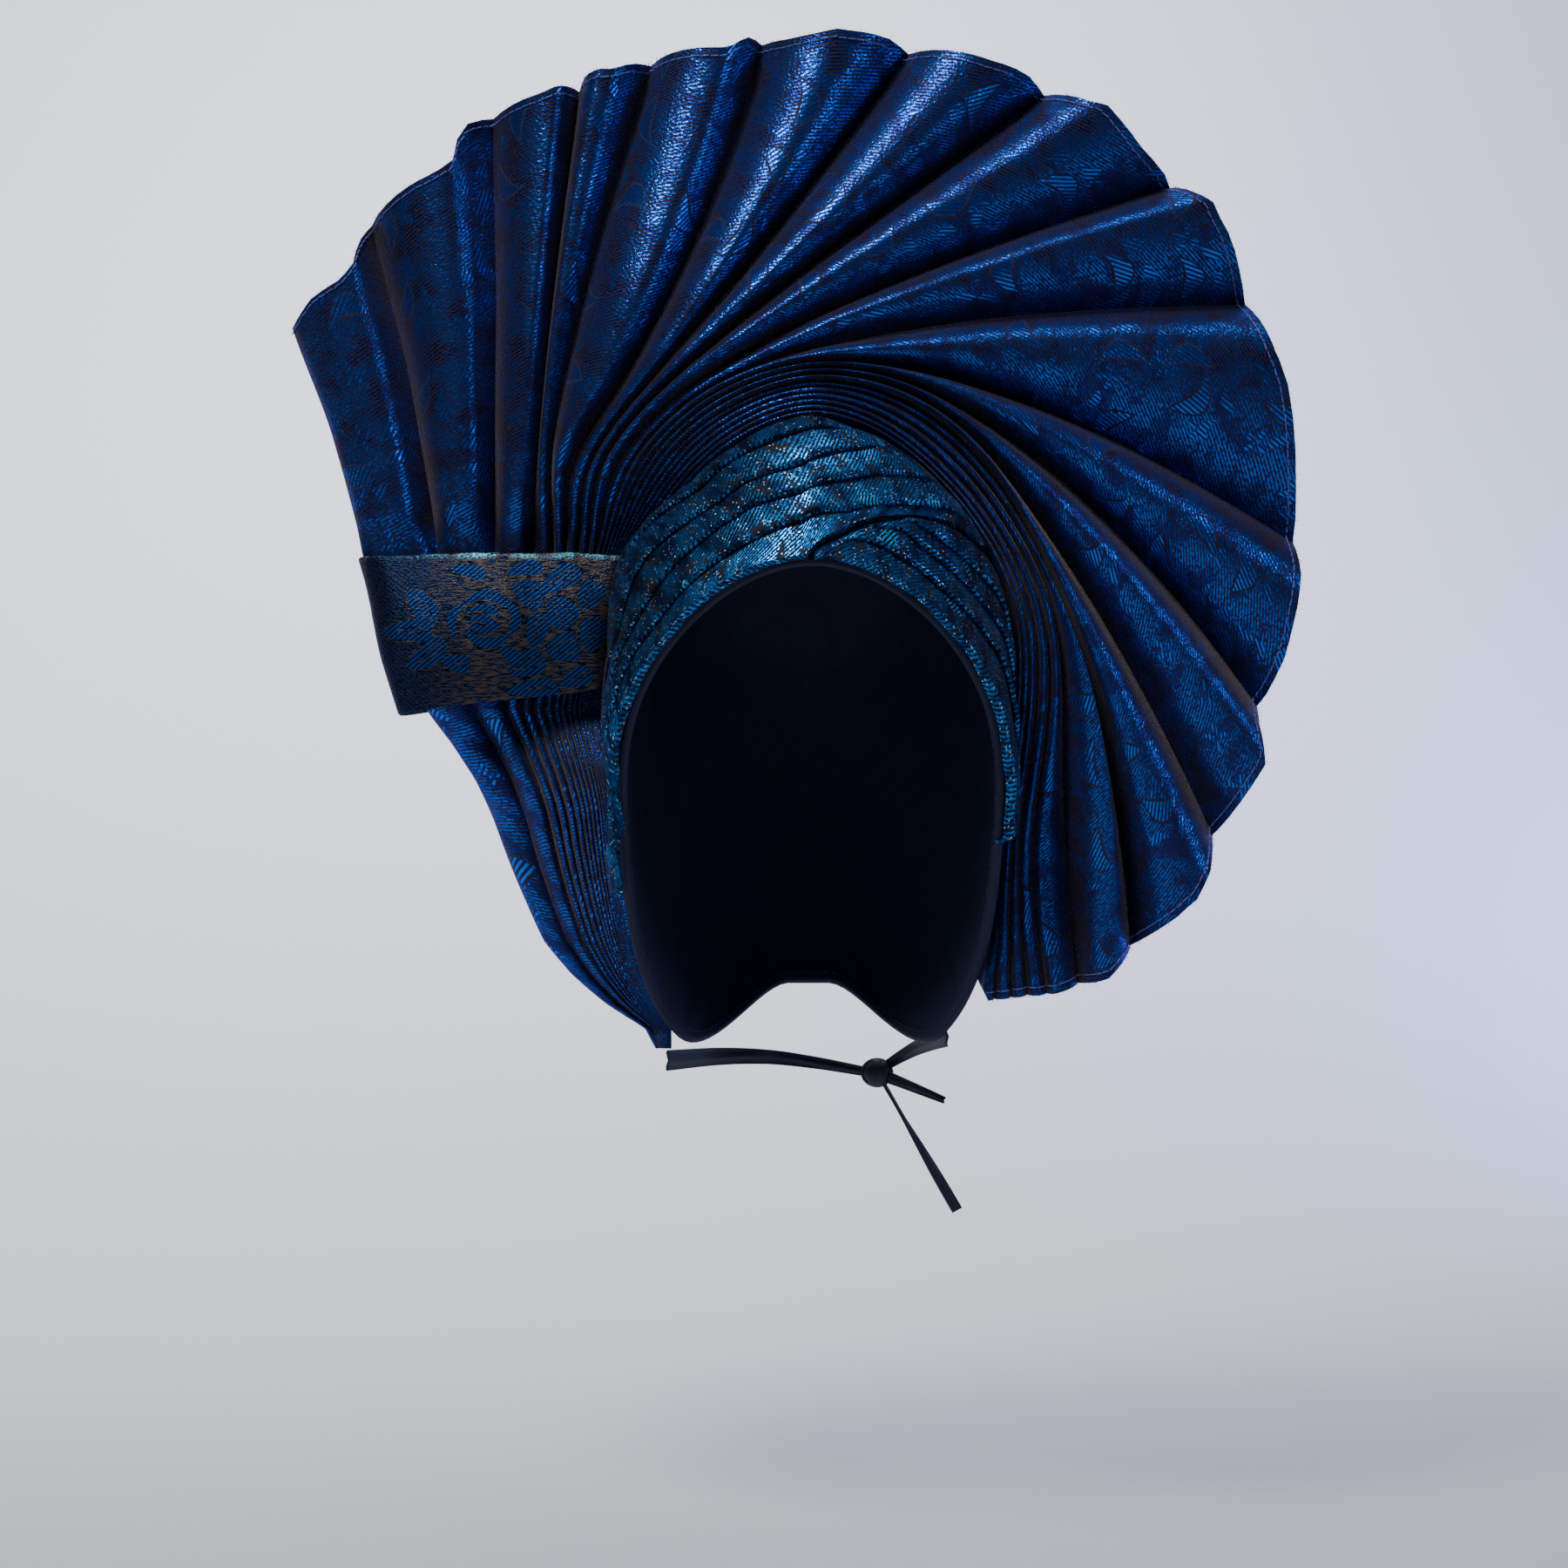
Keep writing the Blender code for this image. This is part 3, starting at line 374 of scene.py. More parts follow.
def wovenRose(name, look):
    material, add, shader, cloth = newCloth(
        name, Metallic=0.70, Roughness=0.40, Specular_Tint=look["edge"], Sheen_Weight=0.30,
        Sheen_Roughness=0.4, Sheen_Tint=look["bronze"])
    depth = union(add, [
        leafDepth(add, cloth, (look["roseX"] + x / 1000, look["roseZ"] + z / 1000), angle, length / 1000,
                  width / 1000, bend, blunt=True)
        for x, z, angle, length, width, bend in rosePetals])
    petals = add("MapRange", (depth, -look["petalEdge"], look["petalEdge"]))
    out, soft = -look["outline"], look["outlineEdge"]
    wide = add("MapRange", (depth, out - soft, out + soft))
    around = add("Math SUBTRACT", (wide, petals), use_clamp=True)
    # veins follow each petal's edge further in
    wave = add("Math COSINE", (add("Math MULTIPLY", (depth, 2 * math.pi / look["arcs"])),))
    vein = add("MapRange", (wave, *look["arcWidth"]))
    vein = add("Math MULTIPLY", (vein, add("MapRange", (depth, *look["arcStart"]))))
    thread = add("MapRange", (weaveGrain(add, cloth, *look["grain"], 0.0), 0.36, 0.64))
    bronze = add("MapRange", (weaveGrain(add, cloth, *look["dashes"], 9.0), 0.44, 0.56))
    x, z, _ = add("SeparateXYZ", (cloth,)).outputs
    right = add("MapRange", (x, *look["plainEnd"]))
    groundTwill = twill(add, cloth, look["ribPitch"], -look["ribAngle"])
    groundTwill = add("Math MULTIPLY", (groundTwill, look["groundShare"]))
    base = add("Mix", blend(thread, look["ground"], look["foil"]), data_type="RGBA")
    base = add("Mix", blend(groundTwill, base, look["ground"]), data_type="RGBA")
    base = add("Mix", blend(add("Math MULTIPLY", (bronze, right)), base, look["bronze"]), data_type="RGBA")
    ribs = twill(add, cloth, look["ribPitch"], look["ribAngle"], 0.9)
    lines = add("Mix", blend(bronze, look["bare"], look["bronze"]), data_type="RGBA")
    satin = add("Mix", blend(ribs, look["petal"], look["satin"]), data_type="RGBA")
    satin = add("Mix", blend(vein, satin, lines), data_type="RGBA")
    base = add("Mix", blend(petals, base, satin), data_type="RGBA")
    base = add("Mix", blend(around, base, lines), data_type="RGBA")
    # painted highlight: pale cyan colour laid in dashes along the folded-over top edge, standing in for the
    # glints that light catches there
    fold = add("MapRange", (z, *look["fold"]))
    paintedGlintPatches = add("MapRange", (weaveGrain(add, cloth, look["paintedGlintPatch"], look["paintedGlintPatch"], 2.0), 0.40, 0.60))
    for mask in (paintedGlintPatches, thread, right):
        fold = add("Math MULTIPLY", (fold, mask))
    base = add("Mix", blend(fold, base, look["paintedGlint"]), data_type="RGBA")
    bump = add("Bump", {"Height": thread, "Strength": 0.35, "Distance": 0.0004})
    feed(shader, {"Base Color": base, "Normal": bump})
    return material


# Plain-woven polyester lining: dull, close and dark, with faint thread lines both ways.
def wovenLining(name, dark, light, pitch=0.0012, rough=0.75):
    material, add, shader, cloth = newCloth(
        name, Roughness=rough, Sheen_Weight=0.25, Sheen_Roughness=0.4, Sheen_Tint=light)
    grid = add("Math MULTIPLY", (twill(add, cloth, pitch, 0), twill(add, cloth, pitch, 90)))
    tone = add("Math MULTIPLY", (grid, weaveGrain(add, cloth, 0.02, 0.02, 1.0)))
    bump = add("Bump", {"Height": grid, "Strength": 0.25, "Distance": 0.0003})
    feed(shader, {"Base Color": add("Mix", blend(tone, dark, light), data_type="RGBA"), "Normal": bump})
    return material


def placed(made):
    # links a new object to the scene
    bpy.context.scene.collection.objects.link(made)
    return made


def clothMesh(name, front, back, cells, loop=False):
    # closes two matching grids of points into one cloth; cells holds each quad's four UVs
    rows, columns = front.shape[:2]
    spans = columns if loop else columns - 1
    i, j = np.meshgrid(np.arange(rows - 1), np.arange(spans), indexing="ij")
    k = (j + 1) % columns
    low, high = i * columns, (i + 1) * columns
    corners = np.stack([low + j, low + k, high + k, high + j], axis=-1)
    other = rows * columns
    faces = [corners.reshape(-1, 4), corners[..., ::-1].reshape(-1, 4) + other]
    uvs = [cells.reshape(-1, 4, 2), cells[..., ::-1, :].reshape(-1, 4, 2)]
    for row, flip in ((0, True), (rows - 1, False)):
        near = row * columns + np.arange(spans)
        far = row * columns + (np.arange(spans) + 1) % columns
        edge = np.stack([near, far, far + other, near + other], axis=-1)
        side = cells[min(row, rows - 2)][:, (0, 1, 1, 0) if row == 0 else (3, 2, 2, 3)]
        faces.append(edge[:, ::-1] if flip else edge)
        uvs.append(side[:, ::-1] if flip else side)
    if not loop:
        for column, flip in ((0, False), (columns - 1, True)):
            near = np.arange(rows - 1) * columns + column
            far = near + columns
            edge = np.stack([near, far, far + other, near + other], axis=-1)
            side = cells[:, min(column, spans - 1)][:, (0, 3, 3, 0) if column == 0 else (1, 2, 2, 1)]
            faces.append(edge[:, ::-1] if flip else edge)
            uvs.append(side[:, ::-1] if flip else side)
    faces, uvs = np.concatenate(faces), np.concatenate(uvs)
    points = np.concatenate([front.reshape(-1, 3), back.reshape(-1, 3)])
    a, b, c, d = (points[faces[:, n]] for n in range(4))
    volume = np.einsum("ij,ij->", a, np.cross(b, c)) + np.einsum("ij,ij->", a, np.cross(c, d))
    if volume < 0:  # turned inside out: the faces look inwards
        faces, uvs = faces[:, ::-1], uvs[:, ::-1]
    mesh = bpy.data.meshes.new(name)
    mesh.vertices.add(len(points))
    mesh.vertices.foreach_set("co", points.ravel())
    mesh.loops.add(faces.size)
    mesh.loops.foreach_set("vertex_index", faces.ravel())
    mesh.polygons.add(len(faces))
    mesh.polygons.foreach_set("loop_start", np.arange(len(faces)) * 4)
    layer = mesh.uv_layers.new(name="cloth")
    mesh.update(calc_edges=True)
    layer.data.foreach_set("uv", uvs.ravel())
    mesh.validate()
    mesh.polygons.foreach_set("use_smooth", np.ones(len(faces), bool))
    mesh.set_sharp_from_angle(angle=math.radians(60))
    return placed(bpy.data.objects.new(name, mesh))


def gridCells(u, v):
    # UVs of each quad of a grid whose points have u and v
    place = np.stack([u, v], axis=-1)
    return np.stack([place[:-1, :-1], place[:-1, 1:], place[1:, 1:], place[1:, :-1]], axis=2)


def runCells(points):
    # UVs of a closed loop's quads, from the way round it and the way along it
    closed = np.concatenate([points, points[:, :1]], axis=1)
    return gridCells(runAlong(closed, 1), runAlong(closed, 0))


def runAlong(points, axis):
    steps = np.linalg.norm(np.diff(points, axis=axis), axis=-1)
    start = np.zeros_like(np.take(steps, [0], axis=axis))
    return np.cumsum(np.concatenate([start, steps], axis=axis), axis=axis)


def dress(piece, material, slot, *nodes):
    piece.data.materials.append(material)
    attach(piece, "root")
    if nodes:
        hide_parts(*nodes)
    return piece


# The fan: ridges from the selvedge inwards. band and below are places across the pleats above and below
# the band, ring is the radius round the crown, leave the angle where a ridge leaves it; hem and reach give
# its end, dip and dipReach the valley after it. Angles are clockwise from straight up, seen from the front.
foldColumns = ("band", "below", "ring", "leave", "hem", "reach", "dip", "dipReach", "dipPlace")
foldTable = [
    (0.143, 0.115, 0.000, -90, -55.5, 0.975, -48.9, 0.987, 0.54),
    (0.403, 0.400, 0.000, -90, -41.9, 0.973, -33.0, 0.985, 0.52),
    (0.593, 0.520, 0.000, -90, -26.6, 0.976, -24.2, 0.972, 0.50),
    (0.703, 0.590, 1.660, -60, -21.4, 0.972, -16.5, 0.962, 0.50),
    (0.757, 0.660, 1.560, -50, -9.6, 0.955, -5.0, 0.965, 0.50),
    (0.800, 0.720, 1.435, -42, 2.6, 0.972, 10.0, 0.955, 0.50),
    (0.847, 0.764, 1.379, -34, 17.3, 0.966, 24.5, 0.957, 0.50),
    (0.880, 0.800, 1.318, -28, 30.8, 0.976, 40.5, 0.944, 0.50),
    (0.905, 0.838, 1.238, -16, 45.0, 0.963, 55.0, 0.902, 0.50),
    (0.922, 0.870, 1.196, 0, 62.3, 0.902, 82.0, 0.828, 0.50),
    (0.937, 0.900, 1.168, 25, 90.0, 0.824, 102.0, 0.785, 0.50),
    (0.950, 0.922, 1.140, 45, 109.0, 0.812, 119.0, 0.784, 0.50),
    (0.961, 0.940, 1.112, 68, 127.0, 0.817, 136.0, 0.791, 0.50),
    (0.970, 0.955, 1.084, 86, 141.0, 0.797, 144.0, 0.785, 0.50),
    (0.977, 0.967, 1.056, 130, 147.0, 0.775, 148.2, 0.771, 0.50),
    (0.983, 0.977, 1.028, 132, 149.4, 0.767, 150.4, 0.763, 0.50),
    (0.989, 0.985, 1.000, 134, 151.4, 0.758, 152.4, 0.753, 0.50),
    (0.995, 0.993, 0.972, 136, 153.4, 0.748, 154.4, 0.743, 0.50),
    (1.000, 1.000, 0.944, 138, 155.4, 0.738, 156.0, 0.736, 0.50),
]
swell = {"columns": ("degrees", "tight", "loose"), "rows": [
    (-75, 1.04, 0.97), (-60, 1.00, 1.00), (-30, 0.99, 1.02), (0, 1.075, 1.055), (30, 1.00, 1.11),
    (50, 0.99, 1.12), (70, 1.05, 1.13), (90, 1.17, 1.30), (110, 1.26, 1.45), (130, 1.46, 1.60),
    (145, 1.88, 1.72)]}
standOut = {"columns": ("degrees", "crown", "hem"), "rows": [
    (-80, -0.24, -0.20), (-60, -0.52, -0.26), (-30, -0.84, -0.44), (0, -0.96, -0.54), (30, -0.88, -0.50),
    (60, -0.70, -0.34), (90, -0.46, -0.16), (120, -0.16, 0.02), (145, 0.14, 0.18), (160, 0.40, 0.30)]}
sideTable = {"columns": ("drop", "width", "back"), "rows": [
    (0.00, 1.000, 0.00), (0.10, 0.910, 0.55), (0.20, 0.830, 0.85), (0.33, 0.750, 0.95), (0.45, 0.670, 0.72),
    (0.57, 0.590, 0.52), (0.68, 0.530, 0.42), (0.78, 0.420, 0.30), (0.87, 0.290, 0.18), (0.94, 0.160, 0.08),
    (1.00, 0.095, 0.04)]}
# how far the cut hem stands out past the straight run between its folds, in mm by angle
hemTrim = {"columns": ("degrees", "out"), "rows": [
    (-62.0, 3.3), (-58.4, 3.5), (-55.0, -0.2), (-53.4, -1.0), (-51.2, 2.8), (-48.6, 5.6), (-45.4, 3.4),
    (-43.2, 1.7), (-40.7, -0.8), (-38.7, -1.3), (-36.3, 7.2), (-34.3, 6.1), (-31.6, 3.3), (-27.8, -0.3),
    (-25.2, -0.4), (-23.3, 0.8), (-20.4, -1.9), (-16.5, 2.0), (-15.1, 2.1), (-11.5, -0.3), (-8.4, -2.6),
    (-6.1, 1.8), (-2.2, -2.0), (0.0, -2.5), (3.3, -1.5), (7.9, 2.1), (10.2, 1.9), (15.4, -0.3),
    (17.6, -1.4), (22.2, 2.6), (24.6, 2.0), (28.9, -0.5), (36.1, -0.3), (39.7, 2.7), (42.9, 0.0),
    (45.6, -0.9), (48.9, 2.2), (55.0, 3.6), (58.6, 1.3), (62.1, -1.2), (65.5, 2.4), (70.1, 4.2),
    (79.8, 5.4), (85.9, 4.5), (90.0, 2.1), (96.3, 5.0), (100.9, 4.8), (104.2, 2.5), (109.1, 3.8),
    (118.0, 6.3), (123.3, 7.1), (127.3, 4.6), (130.0, 5.9), (137.0, 6.7), (142.7, 6.6), (147.6, 5.6),
    (150.5, 3.6), (155.9, 3.9)]}
# Lengths of the pleated stack: above and below the band, down the left side, and how high its folds stand
# at the hem, round the crown, at the band and at the nape. Steps are the points of a fold, ridge to valley.
fan = {
    "reach": 0.2160, "bundle": 0.0690, "wall": 0.0011, "lean": 0.050, "bandTop": hubZ + 0.0195,
    "bandLow": hubZ + 0.0195 - 0.057, "bandY": -0.012, "stackInner": 0.0700, "stackBreadth": 0.0970,
    "sideInner": 0.0770, "sideBreadth": 0.0640, "sideDrop": 0.1310, "sideBack": 0.0330,
    "hemRelief": 0.0200, "crownRelief": 0.0150, "bandRelief": 0.0070, "napeRelief": 0.0030, "steep": 1.05,
    "tuck": 0.0050, "tuckShare": 0.12, "overlap": 0.0018, "growFrom": 0.55, "stitchInset": 0.0032,
    "looseOver": 0.17, "crowding": 1.04, "meetRim": 0.30, "leaveBand": 0.14, "riseAtCrown": 0.16,
    "riseToHem": 0.4, "upperRows": 160, "sideRows": 54, "steps": (0.0, 0.16, 0.34, 0.52, 0.72, 0.88),
}


def ringPoint(ring, degrees):
    loose = np.clip((ring - 1.0) / fan["looseOver"], 0.0, 1.0)
    tight, wide = lookup(swell, "tight", degrees), lookup(swell, "loose", degrees)
    radius = fan["bundle"] * ring * (tight + (wide - tight) * loose)
    turn = np.radians(degrees)
    return np.column_stack([radius * np.sin(turn), hubZ + radius * np.cos(turn)])


def foldLine(fold):
    start = np.array([-fan["stackInner"] - fan["stackBreadth"] * (1 - fold["band"]), fan["bandTop"]])
    turn, reach = math.radians(fold["hem"]), fold["reach"] * fan["reach"]
    hem = np.array([math.sin(turn) * reach, hubZ + math.cos(turn) * reach])
    points = [start]
    if fold["ring"]:
        points += list(ringPoint(fold["ring"], np.arange(-60.0, fold["leave"] + 0.1, 6.0)))
    if len(points) > 2:
        heading = points[-1] - points[-2]
    else:
        heading = unit(hem - start) + np.array([0.0, 0.3])
    bend = points[-1] + unit(heading) * np.linalg.norm(hem - points[-1]) * 0.4
    t = np.linspace(0, 1, 24)[1:, None]
    tail = (1 - t) ** 2 * points[-1] + 2 * t * (1 - t) * bend + t**2 * hem
    line = evenly(np.array(points + list(tail)), np.linspace(0, 1, 90))
    for _ in range(24):
        line[1:-1] = (line[:-2] + 2 * line[1:-1] + line[2:]) / 4
    return spline(line, 720)


def foldRows():
    ridges = [dict(zip(foldColumns, row)) for row in foldTable]
    folds = [dict(band=0.0, below=0.0, ring=0.0, leave=-90, hem=-61.7, reach=1.0, side=0.0)]
    for ridge, after in zip(ridges, ridges[1:] + [None]):
        folds.append(dict(ridge, side=1.0))
        if after:
            dip = {name: ridge[name] + (after[name] - ridge[name]) * ridge["dipPlace"]
                   for name in foldColumns[:4]}
            dip["ring"] = dip["ring"] if ridge["ring"] else 0.0
            folds.append(dict(dip, hem=ridge["dip"], reach=ridge["dipReach"], side=-1.0))
    return folds


def fanStand(x, z, folds):
    radius, degrees = np.hypot(x, z - hubZ), np.degrees(np.arctan2(x, z - hubZ))
    crown, hem = lookup(standOut, "crown", degrees), lookup(standOut, "hem", degrees)
    reach = np.interp(degrees, [f["hem"] for f in folds], [f["reach"] for f in folds]) * fan["reach"]
    return fan["lean"] * (crown + (hem - crown) * smooth((radius - fan["bundle"]) / (reach - fan["bundle"])))


def rimSide(z):
    turns = np.radians(np.arange(-151, -59, 0.5))
    places = hoodPoint(turns, 0.0)
    return hoodPoint(np.interp(z, places[:, 2], turns), 0.0) + np.array([-hood["gap"], 0.0, 0.0])


def fanRows():
    folds = foldRows()
    below = np.array([fold["below"] for fold in folds])
    rows, seats, relief = [], [], []
    for drop in np.linspace(1, 0, fan["sideRows"]):
        z = fan["bandLow"] - fan["sideDrop"] * drop
        rim = rimSide(z)
        meets = float(smooth(drop / fan["meetRim"]))
        innerX = -fan["sideInner"] + (rim[0] + fan["sideInner"]) * meets
        innerY = fan["bandY"] + (rim[1] - fan["bandY"]) * meets
        x = innerX - fan["sideBreadth"] * lookup(sideTable, "width", drop) * (fan["crowding"] - below)
        y = innerY + fan["sideBack"] * lookup(sideTable, "back", drop) * (1 - below)
        rows.append(np.column_stack([x, y, np.full(len(folds), z)]))
        seats.append((innerX, innerY, z))
        relief.append(fan["bandRelief"] + (fan["napeRelief"] - fan["bandRelief"]) * drop)
    shares = np.linspace(0, 1, fan["upperRows"]) ** 1.08  # rows lie closer where the folds turn at the band
    lines = np.array([evenly(foldLine(fold), shares) for fold in folds])
    level = hood["seat"] / hood["depth"]
    for index, share in enumerate(shares):
        x, z = lines[:, index].T
        y = fan["bandY"] + (fanStand(x, z, folds) - fan["bandY"]) * smooth(share / fan["leaveBand"])
        rows.append(np.column_stack([x, y, z]))
        turn = turnSeen(math.degrees(math.atan2(x[-1], z[-1] - hubZ)), level)
        seat = hoodPoint(turn, level) + hoodNormal(turn, level) * hood["gap"] - np.array([0, fan["wall"], 0])
        first = np.array([x[-1] + fan["overlap"], fan["bandY"], z[-1]])
        seats.append(first + (seat - first) * smooth(index / 8))
        rise = smooth(share / fan["riseAtCrown"])
        crown = fan["bandRelief"] + (fan["crownRelief"] - fan["bandRelief"]) * rise
        rise = smooth((share - fan["riseToHem"]) / (1 - fan["riseToHem"]))
        relief.append(crown + (fan["hemRelief"] - crown) * rise)
    return np.array(rows), np.array(seats), np.array(relief), folds


def foldFall(t):
    # from ridge to valley: broad and round over the ridge, sharp in the valley
    return 0.6 * t**2 + 0.4 * t**3.5


def makeFan():
    rows, seats, relief, folds = fanRows()
    side = np.array([fold["side"] for fold in folds])
    near = np.linalg.norm(np.diff(rows[:, :, [0, 2]], axis=1), axis=2)
    near = np.concatenate([near[:, :1], near, near[:, -1:]], axis=1)
    spare = np.minimum(near[:, :-1], near[:, 1:])  # room beside each fold
    for _ in range(6):
        spare[1:-1] = (spare[:-2] + 2 * spare[1:-1] + spare[2:]) / 4
    height = np.minimum(relief[:, None] / 2, fan["steep"] * spare) * side
    points = []
    for k in range(len(folds) - 1):
        for t in fan["steps"]:
            place = rows[:, k] + (rows[:, k + 1] - rows[:, k]) * t
            fall = foldFall(t) if side[k] > 0 else 1 - foldFall(1 - t)
            place[:, 1] -= height[:, k] + (height[:, k + 1] - height[:, k]) * fall
            points.append(place)
    last = rows[:, -1].copy()
    last[:, 1] -= height[:, -1]
    points.append(last)
    points = np.array(points).transpose(1, 0, 2)
    hemAt = points[-1] - np.array([0.0, 0.0, hubZ])
    outward = unit(hemAt * np.array([1.0, 0.0, 1.0]))
    trim = 0.001 * lookup(hemTrim, "out", np.degrees(np.arctan2(hemAt[:, 0], hemAt[:, 2])))
    upward = np.arange(-fan["sideRows"], fan["upperRows"]) / (fan["upperRows"] - 1)
    grow = smooth((upward - fan["growFrom"]) / (1 - fan["growFrom"]))
    points = points + (grow[:, None] * trim[None, :])[..., None] * outward
    # the last fold turns back behind the others and runs in to the hood
    tuck = last + (seats - last) * fan["tuckShare"]
    tuck[:, 1] = rows[:, -1, 1] + fan["tuck"] * smooth(np.linalg.norm(seats - rows[:, -1], axis=1) / 0.02)
    extra = [last + (tuck - last) * t for t in (0.35, 0.7, 1.0)]
    extra += [tuck + (seats - tuck) * t for t in (0.3, 0.65, 1.0)]
    front = np.concatenate([points, np.array(extra).transpose(1, 0, 2)], axis=1)
    # UVs: v runs along the cloth from the band, u across it, squared up on each fold's own ridge at the hem
    along, across = runAlong(front, 0), runAlong(front, 1)
    along -= along[fan["sideRows"]]
    cells = []
    for strip in range(front.shape[1] - 1):
        fold = min(strip // len(fan["steps"]), len(folds) - 2)
        ridge = max(1, fold + (fold + 1) % 2) * len(fan["steps"])
        shifted = across[:, strip : strip + 2] + (across[-1, ridge] - across[:, ridge])[:, None]
        cells.append(gridCells(shifted, along[:, strip : strip + 2])[:, 0])
    cells = np.array(cells).transpose(1, 0, 2, 3)
    made = clothMesh("fanCloth", front, front + np.array([0.0, fan["wall"], 0.0]), cells)
    hem, before = front[-1, : points.shape[1]], front[-2, : points.shape[1]]
    share = 1 - fan["stitchInset"] / np.linalg.norm(hem - before, axis=1)
    inner = before + (hem - before) * np.clip(share, -1.5, 1)[:, None]
    return made, hem, inner, across[-1, points.shape[1] - 1], float(along[-1].max() - along[0].min())


fanCloth, hemLine, stitchLine, fanWidth, fanLength = makeFan()
dress(fanCloth, wovenBrocade("lurexBrocade", brocade), "brocade", "pleated_fan")
print("fan:", len(fanCloth.data.polygons), "faces, hem", round(float(fanWidth), 3), "m, pleats to",
      round(fanLength, 3), "m long")

# The band: a flattened sleeve of double cloth round the pleats, its top edge folded and its foot rising
# to the right. Rows give the foot and top heights along it, as seen from the front.
band = {
    "wall": 0.0014, "halfDepth": 0.0085, "fullness": 0.0030, "clearance": 0.0057, "slack": 0.0125,
    "rightClearance": 0.0046, "step": 0.0078, "stepFrom": 0.30, "inset": 0.0006, "ripple": 0.0007,
    "sag": 0.0010, "rows": 30, "points": 150, "edgeRound": 0.0011,
}
bandEdges = {"columns": ("across", "foot", "top"), "rows": [
    (0.00, -0.0035, 0.0000), (0.18, -0.0010, 0.0006), (0.36, 0.0012, 0.0010), (0.60, 0.0030, 0.0006),
    (0.80, 0.0048, 0.0012), (1.00, 0.0070, 0.0000)]}


def stadium(left, right, depth, middle, count):
    # flat loop seen from above, evenly spaced, starting at the front right
    turns = np.radians(np.linspace(-90, 90, 13))
    points = [(right - depth + depth * math.cos(t), middle + depth * math.sin(t)) for t in turns]
    points += [(left + depth - depth * math.cos(t), middle - depth * math.sin(t)) for t in turns]
    points = np.array(points + points[:1])
    return evenly(points, np.linspace(0, 1, count + 1)[:-1])


def makeBand():
    high, low = fan["bandTop"], fan["bandLow"]
    topLeft = -fan["stackInner"] - fan["stackBreadth"] - band["clearance"]
    lowLeft = -fan["sideInner"] - fan["sideBreadth"] - band["slack"]
    topRight = -fan["stackInner"] + band["rightClearance"]
    lowRight = -fan["sideInner"] + band["rightClearance"]
    roundShare = band["edgeRound"] / (high - low)
    nearEdge = roundShare * 0.35
    middle = np.linspace(roundShare, 1 - roundShare, band["rows"])
    shares = np.concatenate([[0, nearEdge], middle, [1 - nearEdge, 1]])
    outer, inner = [], []
    for share in shares:
        left, right = lowLeft + (topLeft - lowLeft) * share, lowRight + (topRight - lowRight) * share
        depth = band["halfDepth"] + band["fullness"] * math.sin(math.pi * share)
        pinch = band["wall"] / 2 * max(0.0, 1 - min(share, 1 - share) / roundShare) ** 2
        rise = smooth((share - band["stepFrom"]) / (1 - band["stepFrom"]))
        short = band["step"] * rise / (right - left)
        for grid, inset in ((outer, pinch), (inner, band["wall"] - pinch)):
            loop = stadium(left + inset, right - inset, depth - inset, fan["bandY"], band["points"])
            # the front layer stops short of the back one at the top left corner
            behind = np.clip((loop[:, 1] - fan["bandY"]) / (2 * depth) + 0.5, 0, 1)
            loop[:, 0] = right - (right - loop[:, 0]) * (1 - short * (1 - behind))
            across = np.clip((loop[:, 0] - lowLeft) / (lowRight - lowLeft), 0, 1)
            foot, top = lookup(bandEdges, "foot", across), lookup(bandEdges, "top", across)
            z = low + band["inset"] + foot + (high - low - 2 * band["inset"] + top - foot) * share
            ripple = band["ripple"] * np.sin(across * 19 + share * 3.1) * math.sin(math.pi * share)
            sag = band["sag"] * np.sin(across * 7.0 + 1.0) * share
            grid.append(np.column_stack([loop[:, 0], loop[:, 1] + ripple + sag, z]))
    outer, inner = np.array(outer), np.array(inner)
    run = np.concatenate([runAlong(outer, 1), runAlong(outer, 1)[:, -1:] + 0.001], axis=1)
    # the front runs from left to right, so u is measured from the left end there; the back's u is elsewhere
    place = np.concatenate([outer, outer[:, :1]], axis=1)
    front = np.mean(place[..., 1], axis=0) <= fan["bandY"]
    u = np.where(front, place[..., 0] - lowLeft, 0.2 + run)
    return clothMesh("bandSleeve", outer, inner, gridCells(u, place[..., 2] - low), loop=True)


bandSleeve = makeBand()
dress(bandSleeve, wovenRose("roseBrocade", bandWeave), "band_brocade", "fan_band")
print("band:", len(bandSleeve.data.polygons), "faces")

# Forehead wraps: knife pleats, each overhanging the one below it and tucked under the one above. The border
# is their upper line, by its reach from the hub and how far it stands forward; lap is where the over wrap's
# lower edge crosses the under wrap, as a share of the way from the rim to the border.
border = {"columns": ("degrees", "reach", "forward"), "rows": [
    (-147, 1.800, -0.55), (-132, 1.420, -0.60), (-120, 1.270, -0.58), (-103, 1.095, -0.56),
    (-74, 1.030, -0.56), (-62, 0.960, -0.63), (-45, 0.885, -0.78), (-26, 0.890, -0.94),
    (-10, 0.920, -1.05), (0, 0.945, -1.07), (14, 0.900, -1.04), (34, 0.888, -0.96),
    (50, 0.900, -0.84), (62, 0.930, -0.72), (72, 0.965, -0.60), (84, 1.020, -0.47),
    (98, 1.082, -0.34), (113, 1.172, -0.22), (126, 1.300, -0.12), (141, 1.640, -0.02)]}
lap = {"columns": ("degrees", "lift"), "rows": [
    (-10, 0.00), (26, 0.19), (44, 0.42), (51, 0.56), (59, 0.73), (65, 0.84), (70, 0.93), (76, 1.00)]}
